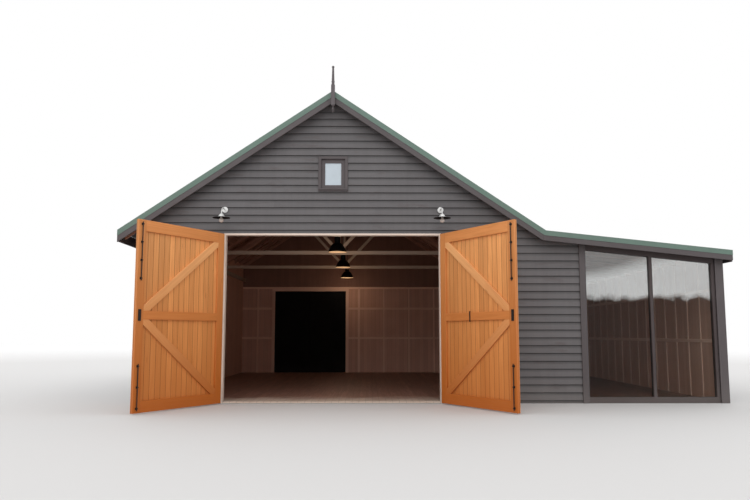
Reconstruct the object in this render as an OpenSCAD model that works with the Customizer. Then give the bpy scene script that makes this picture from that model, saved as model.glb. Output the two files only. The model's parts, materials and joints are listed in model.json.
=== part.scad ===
/* [Hall] */
// Width of the hall over the outer faces of its side walls
hall_w = 7700; // [7300:50:8500]
// Length of the hall over its front and back walls
hall_l = 11200; // [10600:100:13000]
// Thickness of every outer wall with its inner lining
wall_t = 150; // [130:5:170]
// Thickness of the painted boards that line the walls inside
lining_t = 20; // [12:1:30]
// Height of the floor above the ground
floor_h = 40; // [25:1:46]
// Width of the board that covers each corner of the walls
corner_w = 130; // [90:5:160]
// Thickness of the corner boards
corner_t = 20; // [16:1:30]

/* [Roof] */
// Pitch of the hall's roof in degrees
roof_pitch = 33.9; // [30:0.1:36]
// Height of the roofing where the hall's roof ends or bends
eave_h = 3438; // [3400:1:3650]
// How far the hall's roof runs out past its side walls
eave_run = 450; // [350:10:550]
// How far the roof runs out past the front and back walls
verge_run = 200; // [140:10:300]
// Depth of the roofing sheet
sheet_t = 18; // [14:1:24]
// Thickness of the boarded ceiling under the sheet
boards_t = 20; // [14:1:30]
// Depth of the rafters
rafter_d = 100; // [80:5:130]
// Thickness of the rafters
rafter_w = 45; // [35:5:60]
// Widest spacing of the rafters, centre to centre
rafter_gap = 900; // [750:10:1200]
// Depth of the ridge board below the rafters' tops
ridge_d = 160; // [140:5:220]
// Thickness of the ridge board
ridge_w = 40; // [30:2:60]
// Width of the ridge capping down each slope
ridge_lap = 200; // [150:10:300]
// Radius of the roll along the ridge capping
ridge_roll = 24; // [15:1:40]

/* [Lean-to] */
// Width of the lean-to from the hall's side to its own outer wall
lean_w = 4070; // [3800:10:4500]
// Pitch of the lean-to's roof in degrees
lean_pitch = 6; // [5:0.1:8]
// How far the lean-to's roof runs out past its outer wall
lean_eave_run = 130; // [80:10:250]

/* [Roof edges] */
// Thickness of the boards along the verges
barge_t = 30; // [20:1:40]
// Depth of the verge board that shows under its capping
barge_d = 105; // [90:5:160]
// Depth of the green capping's front face
cap_d = 95; // [80:5:140]
// Thickness of the folded capping
cap_t = 6; // [4:1:10]
// How far the capping laps onto the roof
cap_lap = 120; // [80:5:180]
// Thickness of the boards along the eaves
fascia_t = 25; // [18:1:35]
// Depth of the boards along the eaves
fascia_d = 190; // [150:5:210]
// Gap of the mitred joints between edge boards
mitre_gap = 1; // [0.5:0.5:3]
// Fit between the layers of the roof
slope_fit = 0.1; // [0.05:0.05:0.5]

/* [Trusses] */
// Distance from the front wall's outer face to the first truss
truss_front = 3100; // [2600:50:3400]
// Distance between the two trusses
truss_gap = 3900; // [3400:50:4200]
// Depth of the tie beams' underside below the roofing at the eaves
tie_drop = 128; // [100:4:180]
// Depth of the tie beams
tie_d = 90; // [80:5:120]
// Thickness of the tie beams
tie_w = 100; // [80:5:140]
// Thickness of the other truss timbers
truss_t = 75; // [60:5:90]
// Width of the king post's shaft
king_w = 80; // [70:5:110]
// Width of the king post's head and foot
king_joggle = 140; // [120:5:180]
// Depth of the principal rafters
principal_d = 150; // [120:5:180]
// Depth of the raking struts
strut_d = 75; // [60:5:110]
// Angle of the raking struts in degrees
strut_angle = 47; // [42:1:52]
// Depth of the purlins between principals and rafters
purlin_d = 140; // [120:5:160]
// Thickness of the purlins
purlin_w = 75; // [60:5:100]
// Distance of the purlins down the slope from the ridge
purlin_down = 1950; // [1500:50:2600]
// Depth of the plates that carry the tie beams
plate_d = 100; // [80:5:130]
// Width of the plates that carry the tie beams
plate_w = 100; // [80:5:130]
// Width of the posts and the beam on the hall's open side
post_w = 150; // [120:5:180]

/* [Doorway] */
// Clear width of the doorway
door_w = 4330; // [3900:10:4600]
// Clear height of the doorway above the ground
door_h = 3368; // [3200:1:3400]
// Thickness of the painted lining boards of the doorway
jamb_t = 40; // [30:1:60]
// Thickness of the strip across the foot of the doorway
threshold_t = 12; // [8:1:14]
// How far the strip runs out in front of the wall
threshold_out = 40; // [20:5:80]

/* [Doors] */
// Angle at which the doors stand open, from closed
door_open = 120; // [100:1:140]
// How far each closed door laps over the wall beside the doorway
leaf_lap = 70; // [50:5:90]
// Gap between the two closed doors
leaf_mid_gap = 8; // [6:1:14]
// Height of the doors' lower edge above the ground
leaf_foot = 20; // [19:1:28]
// How far the closed doors lap over the wall above the doorway
leaf_head_lap = 12; // [8:1:30]
// Gap between the closed doors and the wall's face
leaf_wall_gap = 6; // [5:1:10]
// Thickness of the upright boards of the doors
leaf_boards_t = 20; // [16:1:26]
// Thickness of the doors' framing
leaf_frame_t = 40; // [32:1:50]
// Width of the doors' stiles
stile_w = 175; // [140:5:200]
// Width of the doors' top and bottom rails
rail_w = 200; // [150:5:240]
// Width of the doors' middle rail
mid_rail_w = 150; // [120:5:190]
// Height of the middle rail's centre above the ground
mid_rail_h = 1700; // [1500:10:1900]
// Width of the doors' braces
brace_w = 150; // [110:5:180]

/* [Door ironwork] */
// Radius of the hinge pins
pin_r = 8; // [6:0.5:10]
// Running clearance of the hinge eyes on their pins
pin_fit = 0.08; // [0.04:0.01:0.1]
// Distance of the hinge pins in front of the doors' outer face
pin_out = 18; // [17:0.5:20]
// Distance of the hinge pins outside the doors' edges
pin_side = 3; // [2:0.5:4]
// Outer radius of the hinge eyes
eye_r = 14; // [12.5:0.5:15]
// Height of the hinge eyes
eye_h = 50; // [40:1:60]
// Radius of the rest under each hinge eye
rest_r = 12; // [11.5:0.5:12.5]
// Height of the rest and its plate
rest_h = 44; // [36:1:60]
// Length of the plate behind each rest
rest_l = 150; // [110:5:200]
// Length of the hinge straps
strap_l = 950; // [700:10:1200]
// Width of the hinge straps at the eye
strap_w = 60; // [45:1:75]
// Thickness of the hinge straps and plates
strap_t = 6; // [4:1:8]
// Heights of the lower, middle and upper hinges
hinge_low = 280; // [200:10:500]
// Height of the middle hinges
hinge_mid = 1675; // [1500:10:1900]
// Height of the upper hinges
hinge_top = 3020; // [2800:10:3060]
// Radius of the bolts' rods
bolt_r = 9; // [7:0.5:12]
// Gap between a bolt's rod and its plate
bolt_off = 5; // [3:0.5:8]
// Length of the upper bolt
bolt_top_l = 1040; // [800:10:1200]
// Length of the lower bolt
bolt_low_l = 800; // [600:10:900]
// Clearance of the bolts from the doors' upper and lower edges
bolt_end = 40; // [36:1:60]
// Width of the lock plate at the middle rail
lock_w = 60; // [40:5:80]
// Height of the lock plate at the middle rail
lock_h = 200; // [150:5:240]
// Thickness of the lock plate
lock_t = 12; // [8:1:20]
// Distance of the hasp from the hinge side of the right door
hasp_u = 930; // [600:10:1300]

/* [Gable window] */
// Height of the gable window's outer trim above the ground
win_h0 = 4276; // [4150:1:4400]
// Height of the gable window's outer trim from foot to head
win_trim_h = 737; // [680:1:800]
// Width of the gable window over its trim
win_trim_w = 607; // [560:1:680]
// Width of the trim boards
win_board_w = 60; // [50:1:75]
// How far the trim stands out from the wall
win_board_t = 20; // [15:1:30]
// Thickness of the liner inside the wall opening
win_liner_t = 18; // [12:1:25]
// Width of the sash's stiles
sash_w = 78; // [60:1:90]
// Thickness of the sash
sash_t = 45; // [35:1:55]
// Distance of the sash behind the wall's face
sash_in = 25; // [15:1:40]
// Thickness of all panes
pane_t = 8; // [5:1:12]
// How far the gable window's sill stands out beyond its trim
sill_out = 25; // [15:1:40]
// Height of the gable window's sill
sill_h = 30; // [20:1:40]

/* [Lean-to window] */
// Distance of the first pane from the hall's centre line
glass_x0 = 5140; // [5000:10:5300]
// Width of the upright between the two panes
mullion_w = 65; // [50:5:90]
// Place of that upright between the two sides, as a percentage
mullion_at = 50.5; // [45:0.5:55]
// Height of the foot rail above the ground
foot_rail_h = 120; // [80:5:180]
// Depth of the window's head below the roofing
head_d = 275; // [255:1:310]
// Width of the upright at the wall's end
glass_jamb_w = 70; // [50:5:100]
// Depth of the window's frame
glass_frame_t = 110; // [90:5:125]
// Distance of the window's frame behind the wall's face
glass_frame_in = 10; // [0:1:20]

/* [Back doorway] */
// Distance of the back doorway's left side from the centre line
back_door_x0 = -2560; // [-2700:10:-2300]
// Width of the back doorway
back_door_w = 2490; // [2200:10:2700]
// Height of the back doorway
back_door_h = 2870; // [2700:10:3050]
// Thickness of the two fixed doors in it
back_door_t = 45; // [35:1:60]
// Gap between the two fixed doors
back_door_gap = 4; // [2:1:8]
// Width of the strip that covers that gap outside
back_strip_w = 60; // [40:5:80]
// Thickness of that strip
back_strip_t = 20; // [15:1:25]

/* [Wall lamps] */
// Distance of the wall lamps outside the doorway's sides
lamp_side = 35; // [0:5:60]
// Height of the wall lamps' plates above the doorway's head
lamp_up = 522; // [450:2:600]
// Radius of the lamps' wall plates
lamp_plate_r = 60; // [45:1:70]
// Thickness of the lamps' wall plates
lamp_plate_t = 18; // [12:1:25]
// Radius of the lamps' bent pipes
lamp_pipe_r = 11; // [8:0.5:14]
// Length of the straight pipe at the wall
lamp_stub = 222; // [180:2:260]
// Radius of the bend that turns the pipe down
lamp_bend = 135; // [110:1:150]
// Radius of the shade's rim
shade_r = 174; // [150:1:190]
// Height of the shade from rim to collar
shade_h = 35; // [28:1:45]
// Thickness of the shade
shade_t = 4; // [3:0.5:6]
// Height of the turned lip along the shade's rim
shade_lip = 2; // [1:0.5:4]
// Radius of the shade's collar at its foot
collar_r = 60; // [50:1:70]
// Radius of the shade's collar at its top
collar_top_r = 30; // [24:1:38]
// Height of the shade's collar
collar_h = 53; // [40:1:65]
// Radius of the lamps' round bulbs
bulb_r = 48; // [38:1:55]
// Depth of the bulbs' lowest point under the shade's rim
bulb_drop = 92; // [85:1:100]

/* [Hanging lamps] */
// Distance from the front wall's outer face to the first hanging lamp
pendant_front = 2200; // [1900:50:2500]
// Distance between the hanging lamps
pendant_gap = 3900; // [3700:50:4000]
// Number of hanging lamps
pendant_count = 3; // [1:1:3]
// Height of the hanging lamps' rims
pendant_h = 3270; // [3200:10:3400]
// Radius of the hanging lamps' shades at the rim
pendant_r = 215; // [180:5:250]
// Height of the hanging lamps' shades up to their necks
pendant_bell_h = 225; // [200:5:280]
// Radius of the hanging lamps' necks
pendant_neck_r = 70; // [60:2:84]
// Height of the hanging lamps' necks
pendant_neck_h = 140; // [110:5:170]
// Thickness of the hanging lamps' shades
pendant_t = 4; // [3:0.5:6]
// Height of the turned rim of the hanging lamps' shades
pendant_lip = 12; // [8:1:16]
// Radius of the hanging lamps' stems
pendant_stem_r = 8; // [6:0.5:12]
// Radius of the hanging lamps' bulbs
pendant_bulb_r = 40; // [30:1:50]
// Height of the bulbs' centres above the rims
pendant_bulb_z = 112; // [100:1:130]

/* [Finial] */
// Width of the finial's square body
finial_w = 78; // [65:1:90]
// Height of the finial's top above the roof's peak
finial_up = 510; // [450:5:650]
// Depth of the finial's tip below the roof's peak
finial_down = 480; // [440:5:540]
// Depth of the square body below the roof's peak
finial_body_down = 325; // [280:5:340]
// Height of the square body above the roof's peak
finial_body_up = 100; // [80:5:150]
// Radius of the shaft under the top ball
finial_neck_r = 19; // [15:1:24]
// Radius of the ball on top
finial_ball_r = 27; // [24:1:32]
// Radius of the ball on the drop
finial_drop_r = 26; // [20:1:30]

/* [Hidden] */
$fn = 48;

// Colours of the finishes
weatherboard = [0.36, 0.35, 0.36];
trim_grey = [0.37, 0.34, 0.34];
roof_green = [0.40, 0.55, 0.47];
cream = [0.80, 0.77, 0.70];
lining_cream = [0.76, 0.70, 0.65];
honey = [0.80, 0.48, 0.22];
dark_timber = [0.24, 0.14, 0.11];
floor_brown = [0.42, 0.33, 0.27];
iron = [0.07, 0.07, 0.07];
zinc = [0.72, 0.73, 0.73];
glass_blue = [0.62, 0.70, 0.72, 0.4];
bulb_white = [0.93, 0.92, 0.86];

// Main planes of the walls
front_y = -hall_l / 2;
back_y = hall_l / 2;
side_x = hall_w / 2;
lean_x = side_x + lean_w;
stud_t = wall_t - lining_t;
inner_x = side_x - wall_t;
inner_l = hall_l - 2 * wall_t;

// Roof slopes, with depths measured square to each slope
main_t = tan(roof_pitch);
lean_t = tan(lean_pitch);
eave_x = side_x + eave_run;
lean_eave_x = lean_x + lean_eave_run;
ridge_h = eave_h + main_t * eave_x;
function main_z(x, d) = ridge_h - main_t * abs(x) - d / cos(roof_pitch);
function lean_z(x, d) = eave_h - lean_t * (x - eave_x) - d / cos(lean_pitch);
function bend_x(d) = eave_x + d * (1 / cos(lean_pitch) - 1 / cos(roof_pitch)) / (main_t - lean_t);
function roof_z(x, d) = x > bend_x(d) ? lean_z(x, d) : main_z(x, d);
function roof_pt(x, d) = [x, roof_z(x, d)];
function reversed(v) = [for (i = [len(v) - 1 : -1 : 0]) v[i]];

// Layers of the roof
boards_top = sheet_t;
rafter_top = boards_top + boards_t;
purlin_top = rafter_top + rafter_d;
principal_top = purlin_top + purlin_d;
principal_low = principal_top + principal_d;
rafter_low = purlin_top - slope_fit;
purlin_low = principal_top - slope_fit;
barge_low = cap_d + barge_d;
sheet_y0 = front_y - verge_run - barge_t;
sheet_l = hall_l + 2 * (verge_run + barge_t);

// Doorway and doors
wall_door_x = door_w / 2 + jamb_t;
wall_door_h = door_h + jamb_t;
leaf_t = leaf_boards_t + leaf_frame_t;
leaf_w = door_w / 2 + leaf_lap - leaf_mid_gap / 2;
leaf_top = door_h + leaf_head_lap;
leaf_h = leaf_top - leaf_foot;
leaf_u0 = pin_side;
leaf_u1 = leaf_u0 + leaf_w;
frame_v = pin_out + leaf_boards_t;
face_v = pin_out + leaf_t;
wall_v = face_v + leaf_wall_gap;
pivot_x = door_w / 2 + leaf_lap + pin_side;
pivot_y = front_y - wall_v;
hinge_heights = [hinge_low, hinge_mid, hinge_top];
rest_gap = 0.3;
plate_clear = (strap_w - eye_h) / 2 + 6;
pin_head = 10;
rest_arm = 35;
rest_u = 5;
eye_arm = 20;
strap_tip_w = 24;
strap_disc_r = 26;
disc_u = strap_l * 0.9;
cut = 1;
bolt_u = leaf_u1 - stile_w * 0.45;
keeper_h = 22;
keeper_end = 30;
keeper_wall = 5;
base_t = 4;
base_edge = 8;

// Windows and the back doorway
win_cx = 0;
win_hole_w = win_trim_w - 2 * win_board_w + 2 * win_liner_t;
win_hole_h = win_trim_h - 2 * win_board_w + 2 * win_liner_t;
win_hole_z = win_h0 + win_board_w - win_liner_t;
sash_x = win_trim_w / 2 - win_board_w;
sash_z0 = win_h0 + win_board_w;
sash_h = win_trim_h - 2 * win_board_w;
glass_x1 = lean_x - wall_t;
mullion_x = glass_x0 + (glass_x1 - glass_x0) * mullion_at / 100;
back_door_x1 = back_door_x0 + back_door_w;

// Heights that follow the eaves and the doorway
tie_h = eave_h - tie_drop;
lamp_x = door_w / 2 + lamp_side;
lamp_h = door_h + lamp_up;

// Places along the length
truss_y = [front_y + truss_front, front_y + truss_front + truss_gap];
pendant_y = [for (i = [0 : pendant_count - 1]) front_y + pendant_front + i * pendant_gap];
rafter_n = ceil((inner_l - rafter_w) / rafter_gap);
rafter_y = [for (i = [0 : rafter_n])
  front_y + wall_t + i * (inner_l - rafter_w) / rafter_n];

// Stands an XZ outline up and gives it the thickness t from y onwards
module along_y(y, t) {
  translate([0, y + t, 0]) rotate([90, 0, 0]) linear_extrude(t) children();
}

// Points along a layer of the roof from x0 to x1
function layer(x0, x1, d) = concat(
  [roof_pt(x0, d)],
  (x0 < 0 && x1 > 0) ? [[0, main_z(0, d)]] : [],
  (x0 < bend_x(d) && x1 > bend_x(d)) ? [roof_pt(bend_x(d), d)] : [],
  [roof_pt(x1, d)]
);

// Outline of a wall from z0 up to a layer of the roof
module wall_outline(x0, x1, z0, d) {
  polygon(concat(layer(x0, x1, d), [[x1, z0], [x0, z0]]));
}

// Outlines between two depths of each slope, with a gap at the mitres
module left_slope(da, db, gap = 0) {
  polygon([
    [-eave_x, main_z(eave_x, da)], [-gap / 2, main_z(gap / 2, da)],
    [-gap / 2, main_z(gap / 2, db)], [-eave_x, main_z(eave_x, db)]
  ]);
}

module right_slope(da, db, gap = 0) {
  xa = bend_x(da) - gap / 2;
  xb = bend_x(db) - gap / 2;
  polygon([
    [gap / 2, main_z(gap / 2, da)], [xa, main_z(xa, da)],
    [xb, main_z(xb, db)], [gap / 2, main_z(gap / 2, db)]
  ]);
}

module lean_slope(da, db, gap = 0) {
  xa = bend_x(da) + gap / 2;
  xb = bend_x(db) + gap / 2;
  polygon([
    [xa, lean_z(xa, da)], [lean_eave_x, lean_z(lean_eave_x, da)],
    [lean_eave_x, lean_z(lean_eave_x, db)], [xb, lean_z(xb, db)]
  ]);
}

module three_slopes(da, db, gap) {
  left_slope(da, db, gap);
  right_slope(da, db, gap);
  lean_slope(da, db, gap);
}

// Round rod from height z0 to z1
module rod(z0, z1, r) {
  translate([0, 0, z0]) cylinder(h = z1 - z0, r = r);
}

// Half outline of a ball of radius r at height z, to be turned about the axis
module half_ball(z, r) {
  intersection() {
    translate([0, z]) circle(r = r);
    translate([0, z - r]) square([r, 2 * r]);
  }
}

module mirror_x() {
  children();
  mirror([1, 0, 0]) children();
}

module mirror_y() {
  children();
  mirror([0, 1, 0]) children();
}

// Floor and threshold
module floor_slab() {
  x0 = -side_x + stud_t;
  color(floor_brown) linear_extrude(floor_h) difference() {
    union() {
      translate([x0, front_y + stud_t]) square([lean_x - stud_t - x0, hall_l - 2 * stud_t]);
      translate([-door_w / 2, front_y]) square([door_w, wall_t]);
    }
    for (x = [-wall_door_x, door_w / 2])
      translate([x, front_y]) square([jamb_t, wall_t]);
    translate([glass_x0 - glass_jamb_w, front_y]) square([glass_x1 - glass_x0 + glass_jamb_w, wall_t]);
  }
}

module threshold() {
  color(cream)
    translate([-door_w / 2, front_y - threshold_out, 0])
      cube([door_w, threshold_out, threshold_t]);
}

// Walls of studs and weatherboards
module front_wall_left() {
  color(weatherboard) along_y(front_y, stud_t)
    wall_outline(-side_x, -wall_door_x, 0, rafter_top);
}

module front_wall_right() {
  color(weatherboard) along_y(front_y, stud_t)
    wall_outline(wall_door_x, side_x, 0, rafter_top);
}

module front_wall_lean_to() {
  color(weatherboard) along_y(front_y, stud_t)
    wall_outline(side_x, glass_x0 - glass_jamb_w, 0, rafter_top);
}

module front_gable_wall() {
  color(weatherboard) along_y(front_y, stud_t) difference() {
    wall_outline(-wall_door_x, wall_door_x, wall_door_h, rafter_top);
    translate([win_cx - win_hole_w / 2, win_hole_z]) square([win_hole_w, win_hole_h]);
  }
}

// Slots for the rafters, open at the top
module rafter_slots(lean) {
  for (y = rafter_y)
    along_y(y, rafter_w) if (lean) lean_rafter_outline(0); else left_rafter_outline(0);
}

module left_wall() {
  color(weatherboard) difference() {
    along_y(front_y + stud_t, hall_l - 2 * stud_t)
      wall_outline(-side_x, -side_x + stud_t, 0, rafter_top);
    rafter_slots(false);
  }
}

module right_wall() {
  color(weatherboard) difference() {
    along_y(front_y, hall_l)
      wall_outline(lean_x - stud_t, lean_x, 0, rafter_top);
    rafter_slots(true);
  }
}

module back_wall() {
  color(weatherboard) along_y(back_y - stud_t, stud_t) difference() {
    wall_outline(-side_x, side_x, 0, rafter_top);
    translate([back_door_x0, -wall_t]) square([back_door_w, back_door_h + wall_t]);
  }
}

module back_wall_lean_to() {
  color(weatherboard) along_y(back_y - stud_t, stud_t)
    wall_outline(side_x, lean_x - stud_t, 0, rafter_top);
}

module wall_lining() {
  color(lining_cream) difference() {
    union() {
      along_y(front_y + stud_t, lining_t) difference() {
        wall_outline(-inner_x, glass_x0 - glass_jamb_w, floor_h, rafter_top);
        translate([-wall_door_x, 0]) square([2 * wall_door_x, wall_door_h]);
        translate([win_cx - win_hole_w / 2, win_hole_z]) square([win_hole_w, win_hole_h]);
      }
      along_y(back_y - wall_t, lining_t) difference() {
        wall_outline(-inner_x, lean_x - wall_t, floor_h, rafter_top);
        translate([back_door_x0, 0]) square([back_door_w, back_door_h]);
      }
      along_y(front_y + stud_t, hall_l - 2 * stud_t)
        wall_outline(-side_x + stud_t, -inner_x, floor_h, rafter_top);
      along_y(front_y + wall_t, hall_l - wall_t - stud_t)
        wall_outline(lean_x - wall_t, lean_x - stud_t, floor_h, rafter_top);
    }
    rafter_slots(false);
    rafter_slots(true);
  }
}

module corner_boards() {
  color(trim_grey) mirror_y() {
    along_y(front_y - corner_t, corner_t) {
      wall_outline(-side_x - corner_t, -side_x + corner_w, 0, rafter_top);
      wall_outline(glass_x1, lean_x + corner_t, 0, rafter_top);
    }
    along_y(front_y, corner_w) {
      wall_outline(-side_x - corner_t, -side_x, 0, purlin_top);
      wall_outline(lean_x, lean_x + corner_t, 0, purlin_top);
    }
  }
  color(trim_grey) along_y(front_y - corner_t, corner_t)
    wall_outline(glass_x0 - corner_w, glass_x0, 0, rafter_top);
}

// Linings of the doorway and the fixed doors at the back
module doorway_jambs() {
  color(cream) mirror_x()
    translate([door_w / 2, front_y, 0]) cube([jamb_t, wall_t, door_h]);
}

module doorway_head() {
  color(cream)
    translate([-wall_door_x, front_y, door_h]) cube([2 * wall_door_x, wall_t, jamb_t]);
}

module back_doors() {
  leaf = (back_door_w - back_door_gap) / 2;
  y0 = back_y - wall_t + lining_t;
  y1 = y0 + back_door_t;
  x1 = back_door_x0 + leaf;
  strip_x = x1 + (back_door_gap - back_strip_w) / 2;
  color(iron) linear_extrude(back_door_h) {
    polygon([
      [back_door_x0, y0], [x1, y0], [x1, y1 + back_door_gap],
      [strip_x + back_strip_w, y1 + back_door_gap], [strip_x + back_strip_w, y1 + back_strip_t],
      [strip_x, y1 + back_strip_t], [strip_x, y1], [back_door_x0, y1]
    ]);
    translate([back_door_x1 - leaf, y0]) square([leaf, back_door_t]);
  }
}

// Large fixed window of the lean-to
module lean_to_frame() {
  x0 = glass_x0 - glass_jamb_w;
  color(trim_grey) along_y(front_y + glass_frame_in, glass_frame_t) difference() {
    wall_outline(x0, glass_x1, 0, rafter_top);
    wall_outline(glass_x0, mullion_x - mullion_w / 2, foot_rail_h, head_d);
    wall_outline(mullion_x + mullion_w / 2, glass_x1 - glass_jamb_w, foot_rail_h, head_d);
  }
}

module lean_to_glass() {
  color(glass_blue) along_y(front_y + glass_frame_in + (glass_frame_t - pane_t) / 2, pane_t) {
    wall_outline(glass_x0, mullion_x - mullion_w / 2, foot_rail_h, head_d);
    wall_outline(mullion_x + mullion_w / 2, glass_x1 - glass_jamb_w, foot_rail_h, head_d);
  }
}

// Small window in the gable
module gable_window_frame() {
  x = win_cx - win_trim_w / 2;
  color(trim_grey) union() {
    along_y(front_y - win_board_t, win_board_t) difference() {
      translate([x, win_h0]) square([win_trim_w, win_trim_h]);
      translate([win_cx - sash_x, sash_z0]) square([2 * sash_x, sash_h]);
    }
    along_y(front_y, wall_t) difference() {
      translate([win_cx - win_hole_w / 2, win_hole_z]) square([win_hole_w, win_hole_h]);
      translate([win_cx - sash_x, sash_z0]) square([2 * sash_x, sash_h]);
    }
    along_y(front_y - win_board_t - sill_out, sill_out)
      translate([x, sash_z0 - sill_h]) square([win_trim_w, sill_h]);
  }
}

module gable_window_sash() {
  color(trim_grey) along_y(front_y + sash_in, sash_t) difference() {
    translate([win_cx - sash_x, sash_z0]) square([2 * sash_x, sash_h]);
    translate([win_cx - sash_x + sash_w, sash_z0 + sash_w])
      square([2 * (sash_x - sash_w), sash_h - 2 * sash_w]);
  }
}

module gable_window_glass() {
  color(glass_blue) along_y(front_y + sash_in + (sash_t - pane_t) / 2, pane_t)
    translate([win_cx - sash_x + sash_w, sash_z0 + sash_w])
      square([2 * (sash_x - sash_w), sash_h - 2 * sash_w]);
}

// Timbers that carry the roof
module wall_plates() {
  color(cream) mirror_x()
    translate([inner_x - plate_w, front_y + wall_t, tie_h - plate_d])
      cube([plate_w, inner_l, plate_d]);
}

module hall_posts() {
  color(cream) for (y = truss_y)
    translate([inner_x, y - post_w / 2, floor_h])
      cube([wall_t, post_w, tie_h - floor_h]);
}

module hall_beam() {
  color(cream) along_y(front_y + wall_t, inner_l)
    wall_outline(inner_x, side_x, tie_h, purlin_top);
}

module tie_beams() {
  color(cream) for (y = truss_y)
    translate([-inner_x, y - tie_w / 2, tie_h]) cube([2 * inner_x, tie_w, tie_d]);
}

king_foot = tie_h + tie_d;
king_top = main_z(ridge_w / 2, rafter_top) - ridge_d;

module king_posts() {
  j = king_joggle / 2;
  k = king_w / 2;
  half = [
    [j, king_foot], [j, king_foot + j], [k, king_foot + j + 2 * (j - k)],
    [k, main_z(j, principal_low) - 2 * (j - k)], [j, main_z(j, principal_low)],
    [j, main_z(j, principal_top)], [k, king_top]
  ];
  color(cream) for (y = truss_y) along_y(y - truss_t / 2, truss_t)
    polygon(concat(half, [for (p = reversed(half)) [-p[0], p[1]]]));
}

// Where a line that leaves the king post at height z meets the principal's underside
function strut_end(z) =
  let (x = (main_z(0, principal_low) - z + tan(strut_angle) * king_joggle / 2)
    / (main_t + tan(strut_angle)))
  [x, main_z(x, principal_low)];

module truss_struts() {
  j = king_joggle / 2;
  color(cream) for (y = truss_y) along_y(y - truss_t / 2, truss_t) mirror_x()
    polygon([
      [j, king_foot], strut_end(king_foot),
      strut_end(king_foot + strut_d / cos(strut_angle)),
      [j, king_foot + strut_d / cos(strut_angle)]
    ]);
}

module principal_rafters() {
  j = king_joggle / 2;
  low = principal_low - slope_fit;
  x_low = (main_z(0, low) - king_foot) / main_t;
  color(dark_timber) for (y = truss_y) along_y(y - truss_t / 2, truss_t) mirror_x()
    polygon([
      [j, main_z(j, principal_top)], [inner_x, main_z(inner_x, principal_top)],
      [inner_x, king_foot], [x_low, king_foot], [j, main_z(j, low)]
    ]);
}

// Point on the right slope, s down from the ridge and d below the roofing
function slope_pt(s, d) = [
  s * cos(roof_pitch) - d * sin(roof_pitch),
  ridge_h - s * sin(roof_pitch) - d * cos(roof_pitch)
];

module ridge_and_purlins() {
  top = main_z(ridge_w / 2, rafter_top);
  color(dark_timber) along_y(front_y + wall_t, inner_l) {
    translate([-ridge_w / 2, top - ridge_d]) square([ridge_w, ridge_d]);
    mirror_x() polygon([
      slope_pt(purlin_down, purlin_top), slope_pt(purlin_down + purlin_w, purlin_top),
      slope_pt(purlin_down + purlin_w, purlin_low), slope_pt(purlin_down, purlin_low)
    ]);
  }
}

module left_rafter_outline(top = rafter_top) {
  polygon([
    [-eave_x + fascia_t, main_z(eave_x - fascia_t, top)],
    [-ridge_w / 2, main_z(ridge_w / 2, top)],
    [-ridge_w / 2, main_z(ridge_w / 2, rafter_low)],
    [-eave_x + fascia_t, main_z(eave_x - fascia_t, rafter_low)]
  ]);
}

module right_rafter_outline() {
  polygon([
    [ridge_w / 2, main_z(ridge_w / 2, rafter_top)], [side_x, main_z(side_x, rafter_top)],
    [side_x, main_z(side_x, rafter_low)], [ridge_w / 2, main_z(ridge_w / 2, rafter_low)]
  ]);
}

module lean_rafter_outline(top = rafter_top) {
  x1 = lean_eave_x - fascia_t;
  polygon([
    [side_x, lean_z(side_x, top)], [x1, lean_z(x1, top)],
    [x1, lean_z(x1, rafter_low)], [side_x, lean_z(side_x, rafter_low)]
  ]);
}

module rafters() {
  color(dark_timber) for (y = rafter_y) along_y(y, rafter_w) {
    left_rafter_outline();
    right_rafter_outline();
  }
}

module lean_to_rafters() {
  color(dark_timber) for (y = rafter_y) along_y(y, rafter_w) lean_rafter_outline();
}

// Roof covering and its edges
module ceiling_boards() {
  color(dark_timber) along_y(front_y - verge_run, hall_l + 2 * verge_run)
    three_slopes(boards_top, rafter_top - slope_fit, mitre_gap);
}

module roof_left() {
  color(roof_green) along_y(sheet_y0, sheet_l) left_slope(0, sheet_t - slope_fit);
}

module roof_right() {
  color(roof_green) along_y(sheet_y0, sheet_l) right_slope(0, sheet_t - slope_fit);
}

module roof_lean_to() {
  color(roof_green) along_y(sheet_y0, sheet_l) lean_slope(0, sheet_t - slope_fit);
}

module ridge_cap() {
  x = ridge_lap * cos(roof_pitch);
  roll_z = main_z(ridge_roll, -cap_t);
  color(roof_green) along_y(sheet_y0 + cap_lap, sheet_l - 2 * cap_lap) polygon(concat(
    [[x, main_z(x, -slope_fit)], [x, main_z(x, -cap_t)]],
    [for (a = [0 : 15 : 180]) [ridge_roll * cos(a), roll_z + ridge_roll * sin(a)]],
    [[-x, main_z(x, -cap_t)], [-x, main_z(x, -slope_fit)], [0, main_z(0, -slope_fit)]]
  ));
}

module barge_boards() {
  color(trim_grey) mirror_y() along_y(sheet_y0, barge_t)
    three_slopes(boards_top, barge_low, mitre_gap);
}

module barge_caps() {
  color(roof_green) mirror_y() {
    along_y(sheet_y0 - cap_t, cap_t) three_slopes(-slope_fit, cap_d, mitre_gap);
    along_y(sheet_y0 - cap_t, cap_lap + cap_t) three_slopes(-cap_t, -slope_fit, mitre_gap);
  }
}

module fascia_boards() {
  color(trim_grey) along_y(front_y - verge_run, hall_l + 2 * verge_run) {
    polygon([
      [-eave_x, main_z(eave_x, rafter_top)],
      [-eave_x + fascia_t, main_z(eave_x - fascia_t, rafter_top)],
      [-eave_x + fascia_t, eave_h - fascia_d - rafter_top],
      [-eave_x, eave_h - fascia_d - rafter_top]
    ]);
    polygon([
      [lean_eave_x - fascia_t, lean_z(lean_eave_x - fascia_t, rafter_top)],
      [lean_eave_x, lean_z(lean_eave_x, rafter_top)],
      [lean_eave_x, lean_z(lean_eave_x, rafter_top) - fascia_d],
      [lean_eave_x - fascia_t, lean_z(lean_eave_x, rafter_top) - fascia_d]
    ]);
  }
}

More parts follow.
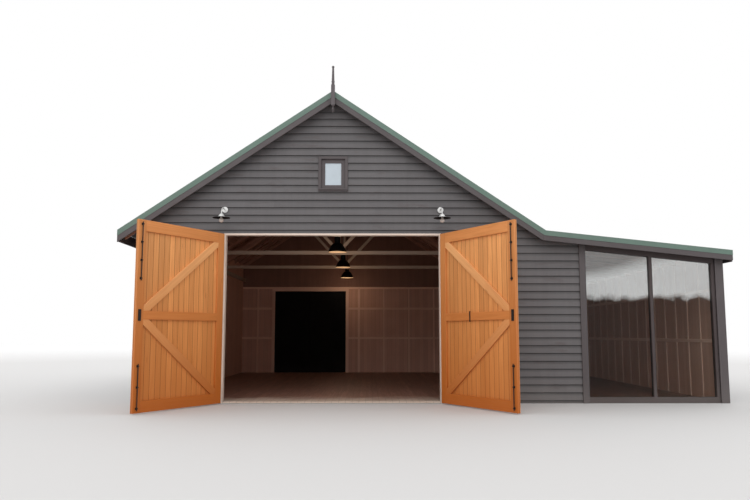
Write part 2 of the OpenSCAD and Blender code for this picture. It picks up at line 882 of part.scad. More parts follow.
// Turned finial in front of the roof's peak
finial_y = sheet_y0 - cap_t - finial_w / 2;
peak_h = ridge_h + cap_t / cos(roof_pitch);

module finial_turning() {
  w = finial_w / 2;
  b = peak_h + finial_body_up;
  ball_z = peak_h + finial_up - finial_ball_r;
  rotate_extrude() union() {
    polygon([
      [0, b - w], [w * 0.95, b - w], [w * 0.95, b + w * 0.2], [w * 0.77, b + w * 0.46],
      [w * 0.77, b + w * 1.54], [w * 0.87, b + w * 1.7], [w * 0.87, b + w * 2],
      [w * 0.74, b + w * 2.2], [finial_neck_r, ball_z], [0, ball_z]
    ]);
    half_ball(ball_z, finial_ball_r);
  }
}

module finial_drop() {
  w = finial_w / 2;
  b = peak_h - finial_body_down;
  tip = peak_h - finial_down;
  ball_z = (b + tip) / 2 - w * 0.2;
  rotate_extrude() union() {
    polygon([
      [0, b + w], [w * 0.9, b + w], [w * 0.9, b], [w * 0.8, b - w * 0.36],
      [w * 0.36, b - w * 0.87], [w * 0.36, ball_z], [w * 0.41, ball_z - finial_drop_r],
      [w * 0.15, tip], [0, tip]
    ]);
    half_ball(ball_z, finial_drop_r);
  }
}

module finial() {
  b = peak_h - finial_body_down;
  color(trim_grey) translate([0, finial_y, 0]) union() {
    translate([-finial_w / 2, -finial_w / 2, b])
      cube([finial_w, finial_w, finial_body_down + finial_body_up]);
    finial_turning();
    finial_drop();
  }
}

// Pipe that runs out along +X from its plate and bends down to the shade
shade_out = lamp_stub + lamp_bend;
collar_z = lamp_h - lamp_bend - collar_h;
rim_z = collar_z - shade_h;

module lamp_arm() {
  union() {
    rotate([0, 90, 0]) cylinder(h = lamp_plate_t, r = lamp_plate_r);
    rotate([0, 90, 0]) cylinder(h = lamp_stub, r = lamp_pipe_r);
    translate([lamp_stub, 0, -lamp_bend]) rotate([90, 0, 0])
      rotate_extrude(angle = 90) translate([lamp_bend, 0]) circle(r = lamp_pipe_r);
  }
}

module at_lamps() {
  for (x = [-lamp_x, lamp_x]) translate([x, front_y, 0]) children();
}

module wall_lamp_arms() {
  color(zinc) at_lamps() translate([0, 0, lamp_h]) rotate([0, 0, -90]) lamp_arm();
}

module wall_lamp_shades() {
  color(zinc) at_lamps() translate([0, -shade_out, 0]) rotate_extrude() polygon([
    [0, collar_z + collar_h], [collar_top_r, collar_z + collar_h], [collar_r, collar_z],
    [shade_r, rim_z + shade_lip], [shade_r, rim_z], [shade_r - 2 * shade_lip, rim_z],
    [collar_r, collar_z - shade_t], [0, collar_z - shade_t]
  ]);
}

module wall_lamp_bulbs() {
  z = rim_z - bulb_drop + bulb_r;
  top = collar_z - shade_t;
  color(bulb_white) at_lamps() translate([0, -shade_out, 0]) rotate_extrude() union() {
    translate([0, z]) square([bulb_r * 0.45, top - z]);
    half_ball(z, bulb_r);
  }
}

// Domed profile of a hanging lamp's shade, as shares of its width and height
bell_steps = [[0.88, 0.27], [0.73, 0.52], [0.61, 0.72], [0.48, 0.87], [0.28, 0.96], [0, 1]];

// That profile from the rim up to the neck, moved inwards by t
function bell(t) = let (w = pendant_r - pendant_neck_r, h = pendant_bell_h - t) concat(
  [[pendant_r - t, pendant_lip]],
  [for (p = bell_steps) [pendant_neck_r + w * p[0] - t, h * p[1]]]
);

module pendant_lamps() {
  neck_z = pendant_bell_h + pendant_neck_h;
  color(iron) for (y = pendant_y) translate([0, y, pendant_h]) union() {
    rotate_extrude() polygon(concat(
      [[pendant_r, 0]], bell(0), [[pendant_neck_r, neck_z - pendant_lip]],
      [[pendant_neck_r * 0.6, neck_z], [0, neck_z], [0, pendant_bell_h - pendant_t]],
      reversed(bell(pendant_t)), [[pendant_r - pendant_t, 0]]
    ));
    rod(neck_z, king_top - pendant_h, pendant_stem_r);
  }
}

module pendant_bulbs() {
  top = pendant_bell_h - pendant_t;
  color(bulb_white) for (y = pendant_y) translate([0, y, pendant_h]) rotate_extrude() union() {
    translate([0, pendant_bulb_z]) square([pendant_bulb_r * 0.45, top - pendant_bulb_z]);
    half_ball(pendant_bulb_z, pendant_bulb_r);
  }
}

// Hinge pins with the rests that carry the doors
module hinge_pin() {
  rod(-rest_h, eye_h + pin_head, pin_r);
  rod(-rest_h, -rest_gap, rest_r);
  translate([rest_u, -rest_r * 0.7, -rest_h])
    cube([rest_arm - rest_u, rest_r * 0.7 + wall_v, rest_h - plate_clear]);
  translate([rest_u, wall_v - strap_t, -rest_h])
    cube([rest_l, strap_t, rest_h - plate_clear]);
}

module hinge_pins() {
  color(iron) mirror_x() for (z = hinge_heights)
    translate([pivot_x, pivot_y, z]) hinge_pin();
}

// Places a door drawn closed, with x from its pin to its free edge and y inwards
module hung(side) {
  mirror([side < 0 ? 1 : 0, 0, 0]) translate([pivot_x, pivot_y, 0])
    rotate([0, 0, door_open]) mirror([1, 0, 0]) children();
}

// Gives an outline in a door's own face a place and a thickness
module in_leaf(v, t) {
  translate([0, v + t, 0]) rotate([90, 0, 0]) linear_extrude(t) children();
}

module door_boards(side) {
  color(honey) hung(side) in_leaf(pin_out, leaf_boards_t)
    translate([leaf_u0, leaf_foot]) square([leaf_w, leaf_h]);
}

module door_stiles(side) {
  color(honey) hung(side) in_leaf(frame_v, leaf_frame_t)
    for (u = [leaf_u0, leaf_u1 - stile_w]) translate([u, leaf_foot]) square([stile_w, leaf_h]);
}

rail_zs = [
  [leaf_foot, rail_w], [mid_rail_h - mid_rail_w / 2, mid_rail_w], [leaf_top - rail_w, rail_w]
];
panel_u0 = leaf_u0 + stile_w;
panel_w = leaf_w - 2 * stile_w;

module door_rails(side) {
  color(honey) hung(side) in_leaf(frame_v, leaf_frame_t)
    for (r = rail_zs) translate([panel_u0, r[0]]) square([panel_w, r[1]]);
}

// Brace that falls or rises across the panel between heights z0 and z1
module brace(z0, z1, rise) {
  h = z1 - z0;
  len = norm([panel_w, h]);
  intersection() {
    translate([panel_u0, z0]) square([panel_w, h]);
    translate([panel_u0 + panel_w / 2, z0 + h / 2]) rotate(rise * atan2(h, panel_w))
      square([2 * len, brace_w], center = true);
  }
}

module door_braces(side) {
  color(honey) hung(side) in_leaf(frame_v, leaf_frame_t) {
    brace(rail_zs[0][0] + rail_zs[0][1], rail_zs[1][0], 1);
    brace(rail_zs[1][0] + rail_zs[1][1], rail_zs[2][0], -1);
  }
}

// Strap hinge whose eye turns on the pin
module strap_hinge() {
  difference() {
    union() {
      cylinder(h = eye_h, r = eye_r);
      cube([eye_arm, pin_out, eye_h]);
      in_leaf(pin_out - strap_t, strap_t) translate([0, eye_h / 2]) union() {
        polygon([
          [eye_r, -strap_w / 2], [disc_u, -strap_tip_w / 2],
          [disc_u, strap_tip_w / 2], [eye_r, strap_w / 2]
        ]);
        translate([disc_u, 0]) circle(r = strap_disc_r);
      }
    }
    rod(-cut, eye_h + cut, pin_r + pin_fit);
  }
}

module door_straps(side) {
  color(iron) hung(side) for (z = hinge_heights) translate([0, 0, z]) strap_hinge();
}

// Bolt rod from z0 to z1 in n keepers on the free stile
module bolt(z0, z1, n) {
  w = 2 * (bolt_r + keeper_wall);
  translate([bolt_u, face_v + base_t + bolt_off + bolt_r, 0]) rod(z0, z1, bolt_r);
  for (i = [0 : n - 1]) {
    z = z0 + keeper_end + i * (z1 - z0 - 2 * keeper_end - keeper_h) / (n - 1);
    translate([bolt_u - w / 2 - base_edge, face_v, z - base_edge])
      cube([w + 2 * base_edge, base_t, keeper_h + 2 * base_edge]);
    translate([bolt_u - w / 2, face_v, z])
      cube([w, base_t + bolt_off + 2 * bolt_r + keeper_wall, keeper_h]);
  }
}

module door_bolts(side) {
  top = leaf_top - bolt_end;
  low = leaf_foot + bolt_end;
  color(iron) hung(side) {
    bolt(top - bolt_top_l, top, 4);
    bolt(low, low + bolt_low_l, 3);
    translate([bolt_u - lock_w / 2, face_v, mid_rail_h - lock_h / 2])
      cube([lock_w, lock_t, lock_h]);
    if (side > 0)
      translate([hasp_u, face_v, mid_rail_h - lock_h / 2]) cube([lock_w / 2, strap_t, lock_h]);
  }
}

module left_door_boards() { door_boards(-1); }
module left_door_stiles() { door_stiles(-1); }
module left_door_rails() { door_rails(-1); }
module left_door_braces() { door_braces(-1); }
module left_door_straps() { door_straps(-1); }
module left_door_bolts() { door_bolts(-1); }
module right_door_boards() { door_boards(1); }
module right_door_stiles() { door_stiles(1); }
module right_door_rails() { door_rails(1); }
module right_door_braces() { door_braces(1); }
module right_door_straps() { door_straps(1); }
module right_door_bolts() { door_bolts(1); }

floor_slab();
threshold();
front_wall_left();
front_wall_right();
front_wall_lean_to();
front_gable_wall();
left_wall();
right_wall();
back_wall();
back_wall_lean_to();
wall_lining();
corner_boards();
doorway_jambs();
doorway_head();
back_doors();
lean_to_frame();
lean_to_glass();
gable_window_frame();
gable_window_sash();
gable_window_glass();
wall_plates();
hall_posts();
hall_beam();
tie_beams();
king_posts();
truss_struts();
principal_rafters();
ridge_and_purlins();
rafters();
lean_to_rafters();
ceiling_boards();
roof_left();
roof_right();
roof_lean_to();
ridge_cap();
barge_boards();
barge_caps();
fascia_boards();
finial();
wall_lamp_arms();
wall_lamp_shades();
wall_lamp_bulbs();
pendant_lamps();
pendant_bulbs();
hinge_pins();
left_door_boards();
left_door_stiles();
left_door_rails();
left_door_braces();
left_door_straps();
left_door_bolts();
right_door_boards();
right_door_stiles();
right_door_rails();
right_door_braces();
right_door_straps();
right_door_bolts();
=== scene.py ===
"""Looks of a weatherboard barn: its boards, roofing, doors, lamps and their finishes."""

import json
import logging
import math
import random
from dataclasses import dataclass, field
from enum import Enum
from typing import Callable, Iterable, Optional, Sequence

import bmesh
import bpy
from mathutils import Matrix, Vector

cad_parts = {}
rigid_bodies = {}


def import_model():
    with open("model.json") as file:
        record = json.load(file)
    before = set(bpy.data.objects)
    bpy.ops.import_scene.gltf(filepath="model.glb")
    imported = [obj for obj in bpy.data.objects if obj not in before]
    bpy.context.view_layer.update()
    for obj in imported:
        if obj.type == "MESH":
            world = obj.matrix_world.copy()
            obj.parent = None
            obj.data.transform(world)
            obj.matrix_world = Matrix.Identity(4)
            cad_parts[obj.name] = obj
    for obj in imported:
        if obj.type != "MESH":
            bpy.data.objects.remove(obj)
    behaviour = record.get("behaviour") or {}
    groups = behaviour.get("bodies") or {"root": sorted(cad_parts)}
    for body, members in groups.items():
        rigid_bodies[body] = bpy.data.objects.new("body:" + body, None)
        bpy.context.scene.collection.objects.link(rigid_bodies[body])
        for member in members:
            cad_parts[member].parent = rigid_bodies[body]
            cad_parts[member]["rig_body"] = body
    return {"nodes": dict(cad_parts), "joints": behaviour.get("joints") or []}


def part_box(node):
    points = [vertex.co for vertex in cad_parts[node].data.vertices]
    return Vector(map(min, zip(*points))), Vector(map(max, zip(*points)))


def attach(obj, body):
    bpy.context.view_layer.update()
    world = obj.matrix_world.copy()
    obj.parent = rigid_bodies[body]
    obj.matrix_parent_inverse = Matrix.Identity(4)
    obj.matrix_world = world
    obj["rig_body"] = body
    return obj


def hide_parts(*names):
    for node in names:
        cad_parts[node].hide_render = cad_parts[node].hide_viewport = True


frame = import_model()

LOG = logging.getLogger("barn")
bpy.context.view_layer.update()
BODY = "barn"

Colour = tuple[float, float, float]
Node = bpy.types.Node
NodeTree = bpy.types.NodeTree
Socket = bpy.types.NodeSocket
Mesh = bpy.types.Mesh
Thing = bpy.types.Object


def srgb(red: int, green: int, blue: int) -> Colour:
    """Colour in scene-linear values.

    Args:
        red: Red as the screen shows it, 0 to 255.
        green: Green as the screen shows it, 0 to 255.
        blue: Blue as the screen shows it, 0 to 255.

    Returns:
        The linear red, green and blue.
    """

    def linear(value: float) -> float:
        """One channel made linear."""
        v = value / 255
        return v / 12.92 if v <= 0.04045 else ((v + 0.055) / 1.055) ** 2.4

    return linear(red), linear(green), linear(blue)


def shaded(colour: Colour, factor: float) -> Colour:
    """A colour made lighter or darker."""
    return tuple(min(1.0, c * factor) for c in colour)


class Axis(Enum):
    """The frame's three directions."""

    X = 0
    Y = 1
    Z = 2


GRAIN_ORDER = {Axis.X: (0, 1, 2), Axis.Y: (1, 0, 2), Axis.Z: (2, 0, 1)}


# Shader trees


@dataclass
class Tree:
    """Short ways to add and join the nodes of one shader tree."""

    tree: NodeTree

    def feed(self, socket: Socket, value: object) -> None:
        """Sets a socket to a value, or joins it to another socket."""
        if isinstance(value, Socket):
            self.tree.links.new(value, socket)
        elif isinstance(value, tuple) and socket.type == "RGBA":
            socket.default_value = (*value[:3], 1)
        else:
            socket.default_value = value

    def fill(self, node: Node, inputs: dict) -> None:
        """Sets a node's inputs, by name or index, to values or joins them to sockets."""
        for key, value in inputs.items():
            self.feed(node.inputs[key], value)

    def add(self, kind: str, inputs: Optional[dict] = None, **settings: object) -> Node:
        """Adds a node.

        Args:
            kind: The node's type, without its ShaderNode prefix.
            inputs: Sockets by name or index, each with a value or a socket to join to it.
            settings: The node's own settings.

        Returns:
            The new node.
        """
        node = self.tree.nodes.new(kind if kind.startswith("Node") else "ShaderNode" + kind)
        for key, value in settings.items():
            setattr(node, key, value)
        self.fill(node, inputs or {})
        return node

    def math(
        self, operation: str, first: object, second: object = 0.0, clamp: bool = False,
    ) -> Socket:
        """One Math node.

        Args:
            operation: The operation's name.
            first: A number or a socket.
            second: A number or a socket.
            clamp: Whether the result is kept between 0 and 1.

        Returns:
            The result's socket.
        """
        inputs = {0: first, 1: second}
        return self.add("Math", inputs, operation=operation, use_clamp=clamp).outputs[0]

    def times(self, first: object, second: object) -> Socket:
        """The product of two values."""
        return self.math("MULTIPLY", first, second)

    def scaled(self, vector: Socket, factors: Sequence[float]) -> Socket:
        """A vector stretched by one factor along each axis."""
        inputs = {0: vector, 1: tuple(factors)}
        return self.add("VectorMath", inputs, operation="MULTIPLY").outputs[0]

    def parts(self, vector: Socket) -> Sequence[Socket]:
        """A vector's X, Y and Z."""
        return self.add("SeparateXYZ", {0: vector}).outputs

    def joined(self, *values: Socket) -> Socket:
        """A vector made of up to three values."""
        return self.add("CombineXYZ", dict(enumerate(values))).outputs[0]

    def drawn(self, inputs: dict[str, Socket], size: str) -> Socket:
        """A random value for each whole number, or for each pair of them."""
        return self.add("TexWhiteNoise", inputs, noise_dimensions=size).outputs["Value"]

    def spread(
        self, value: Socket, low: float, high: float, to: Sequence[float] = (0, 1),
    ) -> Socket:
        """A value mapped from one range to another, and kept in it.

        Args:
            value: The socket to map.
            low: Where the result begins to change.
            high: Where it ends.
            to: The two ends of the result.

        Returns:
            The mapped value's socket.
        """
        ends = {"From Min": low, "From Max": high, "To Min": to[0], "To Max": to[1]}
        return self.add("MapRange", {"Value": value, **ends}).outputs[0]

    def noise(
        self, vector: Socket, scale: float, detail: float = 4.0, rough: float = 0.6,
    ) -> Socket:
        """Soft random values that follow a place."""
        inputs = {"Vector": vector, "Scale": scale, "Detail": detail, "Roughness": rough}
        return self.add("TexNoise", inputs).outputs["Fac"]

    def blend(self, factor: object, first: object, second: object) -> Socket:
        """Two colours mixed by a factor.

        Args:
            factor: A number or a socket, 0 for the first colour.
            first: A colour or a socket.
            second: A colour or a socket.

        Returns:
            The mixed colour's socket.
        """
        inputs = {0: factor, 6: first, 7: second}
        return self.add("Mix", inputs, data_type="RGBA", clamp_factor=True).outputs[2]

    def layered(self, colour: object, layers: Iterable[tuple[Socket, float, object]]) -> Socket:
        """A colour with others laid over it.

        Args:
            colour: The colour below, or its socket.
            layers: For each layer its mask, its strength where the mask is 1, and its colour.

        Returns:
            The resulting colour's socket.
        """
        for mask, strength, over in layers:
            colour = self.blend(self.times(mask, strength), colour, over)
        return colour


GroupEnds = tuple[Tree, Node, Node]


def new_group(name: str, inputs: dict[str, object], outputs: Sequence[str]) -> GroupEnds:
    """Starts a shader node group.

    Args:
        name: The group's name.
        inputs: Input names, each with a default number, or None for a vector.
        outputs: Names of the values it puts out.

    Returns:
        The group's tree, its input node and its output node.
    """
    group = bpy.data.node_groups.new(name, "ShaderNodeTree")
    for key, default in inputs.items():
        kind = "NodeSocketVector" if default is None else "NodeSocketFloat"
        socket = group.interface.new_socket(name=key, in_out="INPUT", socket_type=kind)
        if default is not None:
            socket.default_value = default
    for key in outputs:
        group.interface.new_socket(name=key, in_out="OUTPUT", socket_type="NodeSocketFloat")
    tree = Tree(group)
    return tree, tree.add("NodeGroupInput"), tree.add("NodeGroupOutput")


def make_grain_group() -> NodeTree:
    """Wood grain that runs along a vector's X: broad growth bands and fine streaks."""
    inputs = {"Vector": None, "Width": 1.0, "Seed": 0.0}
    tree, inside, out = new_group("wood grain", inputs, ("Bands", "Streaks", "Height"))
    seed = inside.outputs["Seed"]
    away = tree.joined(seed, seed)
    wide = tree.scaled(inside.outputs["Vector"], (0.5, 9, 9))
    moved = tree.add("VectorMath", {0: wide, 1: away}, operation="ADD").outputs[0]
    warp = tree.add("TexNoise", {"Vector": moved, "Scale": 1.0, "Detail": 3.0, "Distortion": 0.4})
    rings = tree.times(tree.times(warp.outputs["Fac"], 34.0), inside.outputs["Width"])
    bands = tree.spread(tree.math("SINE", rings), -1, 1)
    fine = tree.noise(tree.scaled(moved, (3.0, 22, 22)), 1.0, 4.0, 0.65)
    streaks = tree.spread(fine, 0.3, 0.7)
    height = tree.times(tree.math("ADD", bands, streaks), 0.5)
    tree.fill(out, {"Bands": bands, "Streaks": streaks, "Height": height})
    return tree.tree


def make_weather_group() -> NodeTree:
    """Weathering by place in the frame: soft clouds, rain streaks, splashes and painted shade low
    down.
    """
    inputs = {"Vector": None, "Splash height": 0.5}
    tree, inside, out = new_group("weathering", inputs, ("Clouds", "Streaks", "Splash and foot shade"))
    place = inside.outputs["Vector"]
    clouds = tree.noise(place, 1.7, 5.0)
    streaks = tree.noise(tree.scaled(place, (9.0, 9.0, 0.55)), 1.0)
    edge = tree.math("ADD", tree.parts(place)[2], tree.times(clouds, 0.35))
    reach = tree.math("ADD", inside.outputs["Splash height"], 0.18)
    splash_and_foot_shade = tree.math("SUBTRACT", 1.0, tree.math("DIVIDE", edge, reach), clamp=True)
    clouds, streaks = tree.spread(clouds, 0.3, 0.7), tree.spread(streaks, 0.35, 0.75)
    tree.fill(out, {"Clouds": clouds, "Streaks": streaks, "Splash and foot shade": splash_and_foot_shade})
    return tree.tree


def make_course_group() -> NodeTree:
    """Boards laid in courses: one random tone a board, and painted shade just under the laps."""
    inputs = dict.fromkeys(("Along", "Up", "Cover", "Start", "Length"), 1.0)
    tree, inside, out = new_group("board courses", inputs, ("Tone", "Lap shade"))
    up = tree.math("SUBTRACT", inside.outputs["Up"], inside.outputs["Start"])
    rise = tree.math("DIVIDE", up, inside.outputs["Cover"])
    course = tree.math("FLOOR", rise)
    shift = tree.drawn({"W": course}, "1D")
    along = tree.math("DIVIDE", inside.outputs["Along"], inside.outputs["Length"])
    board = tree.math("FLOOR", tree.math("ADD", along, shift))
    tone = tree.drawn({"Vector": tree.joined(course, board)}, "2D")
    below = tree.math("SUBTRACT", 1.0, tree.math("FRACT", rise))
    below = tree.times(below, inside.outputs["Cover"])
    # Painted shade under the butt of each board above: a dark core, then a soft fade downwards.
    soft = tree.times(tree.spread(below, 0.07, 0.008), 0.62)
    lap_shade = tree.math("MAXIMUM", tree.spread(below, 0.017, 0.011), soft)
    tree.fill(out, {"Tone": tone, "Lap shade": lap_shade})
    return tree.tree


GROUP_MAKERS: dict[str, Callable[[], NodeTree]] = {
    "wood grain": make_grain_group,
    "weathering": make_weather_group,
    "board courses": make_course_group,
}


def group_outputs(tree: Tree, name: str, inputs: dict[str, object]) -> dict[str, Socket]:
    """Places a shared node group, which is built the first time.

    Args:
        tree: The material's tree.
        name: The group's name.
        inputs: The group's inputs by name.

    Returns:
        The group's outputs by name.
    """
    group = bpy.data.node_groups.get(name) or GROUP_MAKERS[name]()
    return dict(tree.add("Group", inputs, node_tree=group).outputs.items())


def place_of(tree: Tree) -> Socket:
    """The place in the frame, in metres."""
    return tree.add("TexCoord").outputs["Object"]


def grain_of(tree: Tree) -> Socket:
    """The place along and across the grain of a made solid, in metres."""
    return tree.add("Attribute", attribute_name="grain").outputs["Vector"]


def tone_of(tree: Tree) -> Socket:
    """The random tone of a made solid, 0 to 1."""
    return tree.add("Attribute", attribute_name="tone").outputs["Fac"]


# Finishes

BUMP_STRENGTH = 0.8
FACING = 0.7
COVER = 0.1555
DUST = srgb(118, 110, 104)
WALL_STAIN = srgb(74, 62, 60)


@dataclass(frozen=True)
class Finish:
    """A finish with a base colour and a roughness, and the material made from it."""

    name: str
    colour: Colour
    roughness: float = 0.6
    specular: float = 0.5

    def start(self) -> tuple[Tree, Node]:
        """Starts the material.

        Returns:
            The material's tree and its Principled shader.
        """
        material = bpy.data.materials.new(self.name)
        material.use_nodes = True
        material.diffuse_color = (*self.colour, 1)
        tree = Tree(material.node_tree)
        shader = material.node_tree.nodes["Principled BSDF"]
        inputs = {"Roughness": self.roughness, "Specular IOR Level": self.specular}
        tree.fill(shader, {"Base Color": self.colour, **inputs})
        return tree, shader

    def dress(self, tree: Tree, shader: Node) -> None:
        """Adds what this kind of finish has. A plain one has nothing more."""

    def material(self) -> bpy.types.Material:
        """The finish's material, made the first time that it is asked for."""
        if self.name not in bpy.data.materials:
            self.dress(*self.start())
        return bpy.data.materials[self.name]

    def tint(self, factor: float) -> Colour:
        """The base colour made lighter or darker."""
        return shaded(self.colour, factor)

    def surface(
        self, tree: Tree, shader: Node, colour: object, rough: tuple[Socket, float, float],
        relief: tuple[Socket, float],
    ) -> None:
        """Joins the shader's colour, roughness and normal.

        Args:
            tree: The material's tree.
            shader: Its Principled shader.
            colour: The colour or its socket.
            rough: What the roughness follows, and how far below and above the finish's it goes.
            relief: The height, 0 to 1, and what a height of 1 is in metres.
        """
        value, less, more = rough
        ends = (self.roughness - less, self.roughness + more)
        inputs = {"Height": relief[0], "Distance": relief[1], "Strength": BUMP_STRENGTH}
        normal = tree.add("Bump", inputs).outputs[0]
        roughness = tree.spread(value, 0, 1, ends)
        tree.fill(shader, {"Base Color": colour, "Roughness": roughness, "Normal": normal})


@dataclass(frozen=True)
class CoursePaint(Finish):
    """Paint on lapped boards: each board a little lighter or darker, with painted shade under laps.
    """

    along: Axis = Axis.X
    cover: float = COVER
    start_z: float = 0.0
    length: float = 4.2
    lap_shade: float = 0.88
    grain_depth: float = 0.0006

    def dress(self, tree: Tree, shader: Node) -> None:
        """Adds the boards' tones, painted shade under the laps, grain and weathering."""
        place = place_of(tree)
        parts = tree.parts(place)
        inputs = {
            "Along": parts[self.along.value], "Up": parts[2], "Cover": self.cover,
            "Start": self.start_z, "Length": self.length,
        }
        boards = group_outputs(tree, "board courses", inputs)
        turned = tree.joined(*(parts[i] for i in GRAIN_ORDER[self.along]))
        inputs = {"Vector": turned, "Width": 0.5, "Seed": tree.times(boards["Tone"], 40.0)}
        grain = group_outputs(tree, "wood grain", inputs)
        weather = group_outputs(tree, "weathering", {"Vector": place})
        tones = tree.times(boards["Tone"], 0.6)
        tones = tree.math("ADD", tones, tree.times(weather["Clouds"], 0.4))
        smudge = tree.noise(tree.scaled(place, (1.3, 1.3, 6.0)), 1.1, 4.0)
        colour = tree.layered(tree.blend(tones, self.tint(0.9), self.tint(1.12)), (
            (weather["Streaks"], 0.22, self.tint(0.55)),
            (tree.spread(smudge, 0.56, 0.72), 0.5, WALL_STAIN),
            (grain["Streaks"], 0.12, self.tint(1.3)),
            (weather["Splash and foot shade"], 0.4, DUST),
            # Painted shade under the laps.
            (boards["Lap shade"], self.lap_shade, self.tint(0.06)),
        ))
        relief = (grain["Height"], self.grain_depth)
        self.surface(tree, shader, colour, (weather["Clouds"], 0.08, 0.1), relief)


@dataclass(frozen=True)
class TimberPaint(Finish):
    """Paint on single timbers: faint grain, a tone for each timber and weathering."""

    grain_depth: float = 0.0005
    dust: float = 0.35
    tones: tuple[float, float] = (0.9, 1.1)

    def dress(self, tree: Tree, shader: Node) -> None:
        """Adds the tone, grain and weathering."""
        grain = group_outputs(tree, "wood grain", {"Vector": grain_of(tree), "Width": 0.5})
        weather = group_outputs(tree, "weathering", {"Vector": place_of(tree)})
        colour = tree.layered(tree.blend(tone_of(tree), *map(self.tint, self.tones)), (
            (weather["Clouds"], 0.25, self.tint(0.78)),
            (grain["Streaks"], 0.12, self.tint(1.25)),
            (weather["Splash and foot shade"], self.dust, DUST),
        ))
        relief = (grain["Height"], self.grain_depth)
        self.surface(tree, shader, colour, (weather["Clouds"], 0.06, 0.1), relief)


@dataclass(frozen=True)
class StainedTimber(Finish):
    """Clear stain on timber: growth bands, fine streaks, a tone for each board and painted shade at
    feet.
    """

    dark: Colour = (0.3, 0.1, 0.02)
    tones: tuple[float, float] = (0.84, 1.12)
    bands: float = 0.45
    streaks: float = 0.35
    coat: float = 0.0
    grain_depth: float = 0.0006
    # The foot fields darken a piece's lower part with painted shade.
    foot: float = 0.0
    foot_shade_colour: Colour = (0.3, 0.1, 0.02)
    foot_shade_height: float = 0.7
    knots: float = 0.6

    def dress(self, tree: Tree, shader: Node) -> None:
        """Adds the bands, streaks, tones and knots."""
        along, tone = grain_of(tree), tone_of(tree)
        inputs = {"Vector": along, "Width": 1.0, "Seed": tree.times(tone, 20.0)}
        grain = group_outputs(tree, "wood grain", inputs)
        inputs = {"Vector": tree.scaled(along, (1.1, 6.5, 6.5)), "Scale": 1.0}
        spots = tree.add("TexVoronoi", inputs, feature="F1").outputs["Distance"]
        inputs = {"Vector": place_of(tree), "Splash height": self.foot_shade_height}
        weather = group_outputs(tree, "weathering", inputs)
        colour = tree.layered(tree.blend(tone, *map(self.tint, self.tones)), (
            (grain["Bands"], self.bands, self.dark),
            (grain["Streaks"], self.streaks, self.tint(1.2)),
            (tree.spread(spots, 0.085, 0.04), self.knots, shaded(self.dark, 0.4)),
            (weather["Clouds"], 0.14, self.dark),
            # Painted shade: darker towards the foot.
            (weather["Splash and foot shade"], self.foot, self.foot_shade_colour),
        ))
        tree.fill(shader, {"Coat Weight": self.coat, "Coat Roughness": 0.35})
        relief = (grain["Height"], self.grain_depth)
        self.surface(tree, shader, colour, (grain["Bands"], 0, 0.12), relief)


@dataclass(frozen=True)
class SetBoards(Finish):
    """Paint or stain on boards side by side, drawn by their place in the frame."""

    width: float = 0.14
    along: Axis = Axis.Z
    dark: Colour = (0.1, 0.1, 0.1)
    bands: float = 0.1
    joint: float = 0.6
    joint_half: float = 0.005
    joint_depth: float = 0.004
    variety: float = 0.2
    gable: Optional[Colour] = None
    gable_from: float = 2.985
    paler_near_door: Optional[Colour] = None
    paler_near_door_y: tuple[float, float] = (-4.2, -5.3)

    def dress(self, tree: Tree, shader: Node) -> None:
        """Adds the boards' tones, joints and grain."""
        place = place_of(tree)
        parts = tree.parts(place)
        where, base = parts[0], self.colour
        facing = tree.parts(tree.add("NewGeometry").outputs["True Normal"])
        if self.along is Axis.Z:
            turn = tree.math("GREATER_THAN", tree.math("ABSOLUTE", facing[0]), FACING)
            straight = tree.times(where, tree.math("SUBTRACT", 1.0, turn))
            where = tree.math("ADD", straight, tree.times(parts[1], turn))
        if self.gable:
            high = tree.math("GREATER_THAN", parts[2], self.gable_from)
            end = tree.math("GREATER_THAN", tree.math("ABSOLUTE", facing[1]), FACING)
            base = tree.blend(tree.times(high, end), self.colour, self.gable)
        cell = tree.math("DIVIDE", where, self.width)
        board = tree.math("FLOOR", cell)
        tone = tree.drawn({"W": board}, "1D")
        vector = tree.joined(parts[self.along.value], where, board)
        inputs = {"Vector": vector, "Width": 0.8, "Seed": tree.times(tone, 30.0)}
        grain = group_outputs(tree, "wood grain", inputs)
        weather = group_outputs(tree, "weathering", {"Vector": place})
        layers = [
            (tone, self.variety, (0, 0, 0)),
            (grain["Bands"], self.bands, self.dark),
            (weather["Clouds"], 0.16, self.dark),
        ]
        # Paler towards the doorway.
        if self.paler_near_door:
            near = tree.math("ADD", parts[1], tree.times(weather["Clouds"], 0.5))
            layers.append((tree.spread(near, *self.paler_near_door_y), 0.85, self.paler_near_door))
        edge = tree.math("ABSOLUTE", tree.math("SUBTRACT", tree.math("FRACT", cell), 0.5))
        joint = tree.spread(edge, 0.5 - self.joint_half / self.width, 0.5)
        layers.append((joint, self.joint, shaded(self.dark, 0.3)))
        height = tree.math("SUBTRACT", tree.times(grain["Height"], 0.12), joint)
        rough = (grain["Streaks"], 0.06, 0.1)
        self.surface(tree, shader, tree.layered(base, layers), rough, (height, self.joint_depth))


